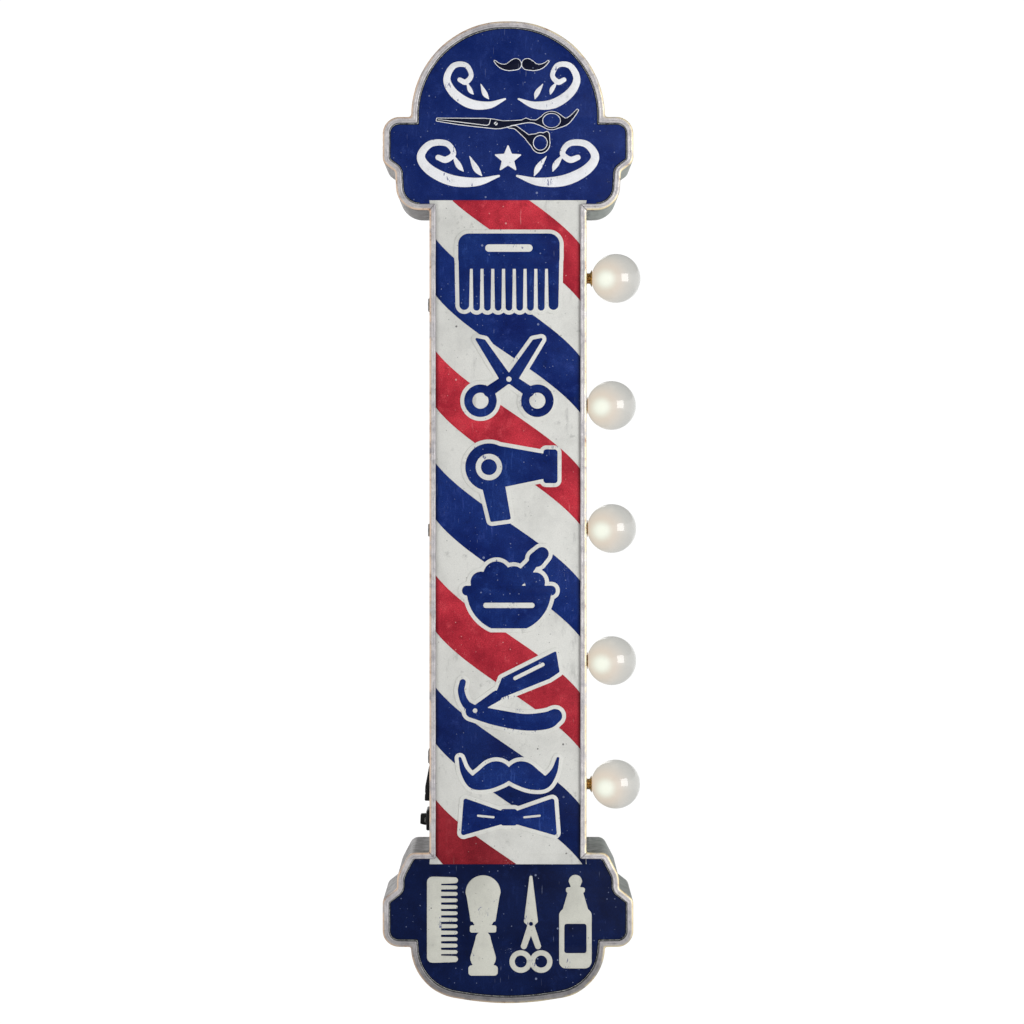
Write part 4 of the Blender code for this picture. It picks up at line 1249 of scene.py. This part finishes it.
def small_parts():
    for place in ("upper", "middle", "lower"):
        softened(f"hanger_{place}", 0.22, "bronze")
        for side in ("front", "back"):
            softened(f"rivet_{place}_{side}", 0.25, "fastener")
    softened("battery_door", 0.35, "plastic", 3, "battery_door")
    softened("switch_bezel", 0.15, "plastic")
    softened("switch_knob", 0.6, "plastic", 3, "switch_knob")
    for side in ("front", "back"):
        softened(f"switch_screw_{side}", 0.15, "fastener")
    keep = {
        "brass": [f"{part}_{i}" for part in ("nipple", "lamp_nut") for i in range(1, 6)],
        "lamp": [f"led_{i}" for i in range(1, 6)],
        "plastic": ["battery_box", "switch_body"],
        "jacket": ["cell_upper", "cell_lower"],
        "steel": ["battery_spring_upper", "battery_spring_lower"]
        + [f"{kind}_contact" for kind in ("bridge", "positive", "negative")],
        "red_wire": ["wire_switch_to_lamps", "wire_battery_to_switch"],
        "black_wire": ["wire_battery_to_lamps"],
    }
    for finish, names in keep.items():
        for name in names:
            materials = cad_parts[name].data.materials
            materials.clear()
            materials.append(FINISHES[finish])


# Studio, in metres

WALL_RADIUS = 6.0
WALL_TOP = 1.8
FLOOR_Z = -2.5
FLOOR_CURVE = 1.0
FLOOR_GLOW = 0.5
WALL_GLOW = 0.98


def studio():
    """A pale round floor that curves up into a white wall on all sides, with soft lights."""
    profile = [(0.0, FLOOR_Z), (WALL_RADIUS - FLOOR_CURVE, FLOOR_Z)]
    for i in range(1, 13):
        angle = math.pi / 2 * i / 12
        radius = WALL_RADIUS - FLOOR_CURVE * (1 - math.sin(angle))
        profile.append((radius, FLOOR_Z + FLOOR_CURVE * (1 - math.cos(angle))))
    profile.append((WALL_RADIUS, WALL_TOP))
    points = [(radius, 0, height) for radius, height in profile]
    mesh = mesh_from("studio_bowl", spun(points, (0, 0, 1), 96, closed=False, weld=1e-5))
    mesh.shade_smooth()
    bowl = placed("studio_bowl", mesh)
    paper = Finish("pale_paper", Roughness=0.9, Specular_IOR_Level=0.0, Emission_Strength=1.0)
    glow = paper.ramp(paper.axes()[2], FLOOR_Z, FLOOR_Z + FLOOR_CURVE, FLOOR_GLOW, WALL_GLOW)
    grey = paper.add("ShaderNodeCombineColor", {0: glow, 1: glow, 2: glow}).outputs[0]
    paper.feed(paper.shader.inputs["Emission Color"], grey)
    mesh.materials.append(paper.finish((0.1, 0.1, 0.1, 1)))

    world = bpy.data.worlds.new("studio")
    world.use_nodes = True
    sky = world.node_tree.nodes["Background"].inputs
    sky["Color"].default_value = (1, 1, 1, 1)
    sky["Strength"].default_value = 0.25
    bpy.context.scene.world = world

    target = Vector((SHAFT_X, 0, 0))
    key_place = target + Vector((1.25, -1.36, 0.22))
    softbox("key", target + (key_place - target) * 1.03, target, 0.7, 13.8).visible_glossy = False
    softbox("sparkle", key_place, target, 1.1, 24).visible_diffuse = False
    softbox("fill", target + Vector((-1.5, -1.7, 0.8)), target, 1.6, 4)
    softbox("back", target + Vector((-1.0, 2.0, 0.8)), target, 1.6, 12)


def softbox(name, place, target, size, power):
    data = bpy.data.lights.new(name, "AREA")
    data.size = size
    data.energy = power
    obj = placed(name, data)
    obj.location = place
    obj.rotation_euler = (target - place).to_track_quat("-Z", "Y").to_euler()
    return obj


LENS = 101.24
SENSOR = 36
VIEW_DISTANCE = 1.87  # metres
EYE_HEIGHT = 43.1
VIEW_MIDDLE = 12.6  # height at the middle of the picture
VIEW_SIDE = 2.6  # from the shaft's centre line


def camera():
    """Level and square to the front face, a little above the sign's middle."""
    data = bpy.data.cameras.new("camera")
    data.lens, data.sensor_width = LENS, SENSOR
    data.shift_y = (VIEW_MIDDLE - EYE_HEIGHT) * MM * LENS / (SENSOR * VIEW_DISTANCE)
    obj = placed("camera", data)
    obj.location = (SHAFT_X + VIEW_SIDE * MM, FACE_Y - VIEW_DISTANCE, EYE_HEIGHT * MM)
    obj.rotation_euler = (math.pi / 2, 0, 0)
    bpy.context.scene.camera = obj


casing()
panels()
motifs()
for number in range(1, 6):
    lamp(number)
small_parts()
studio()
camera()
bpy.context.scene.view_settings.view_transform = "Standard"
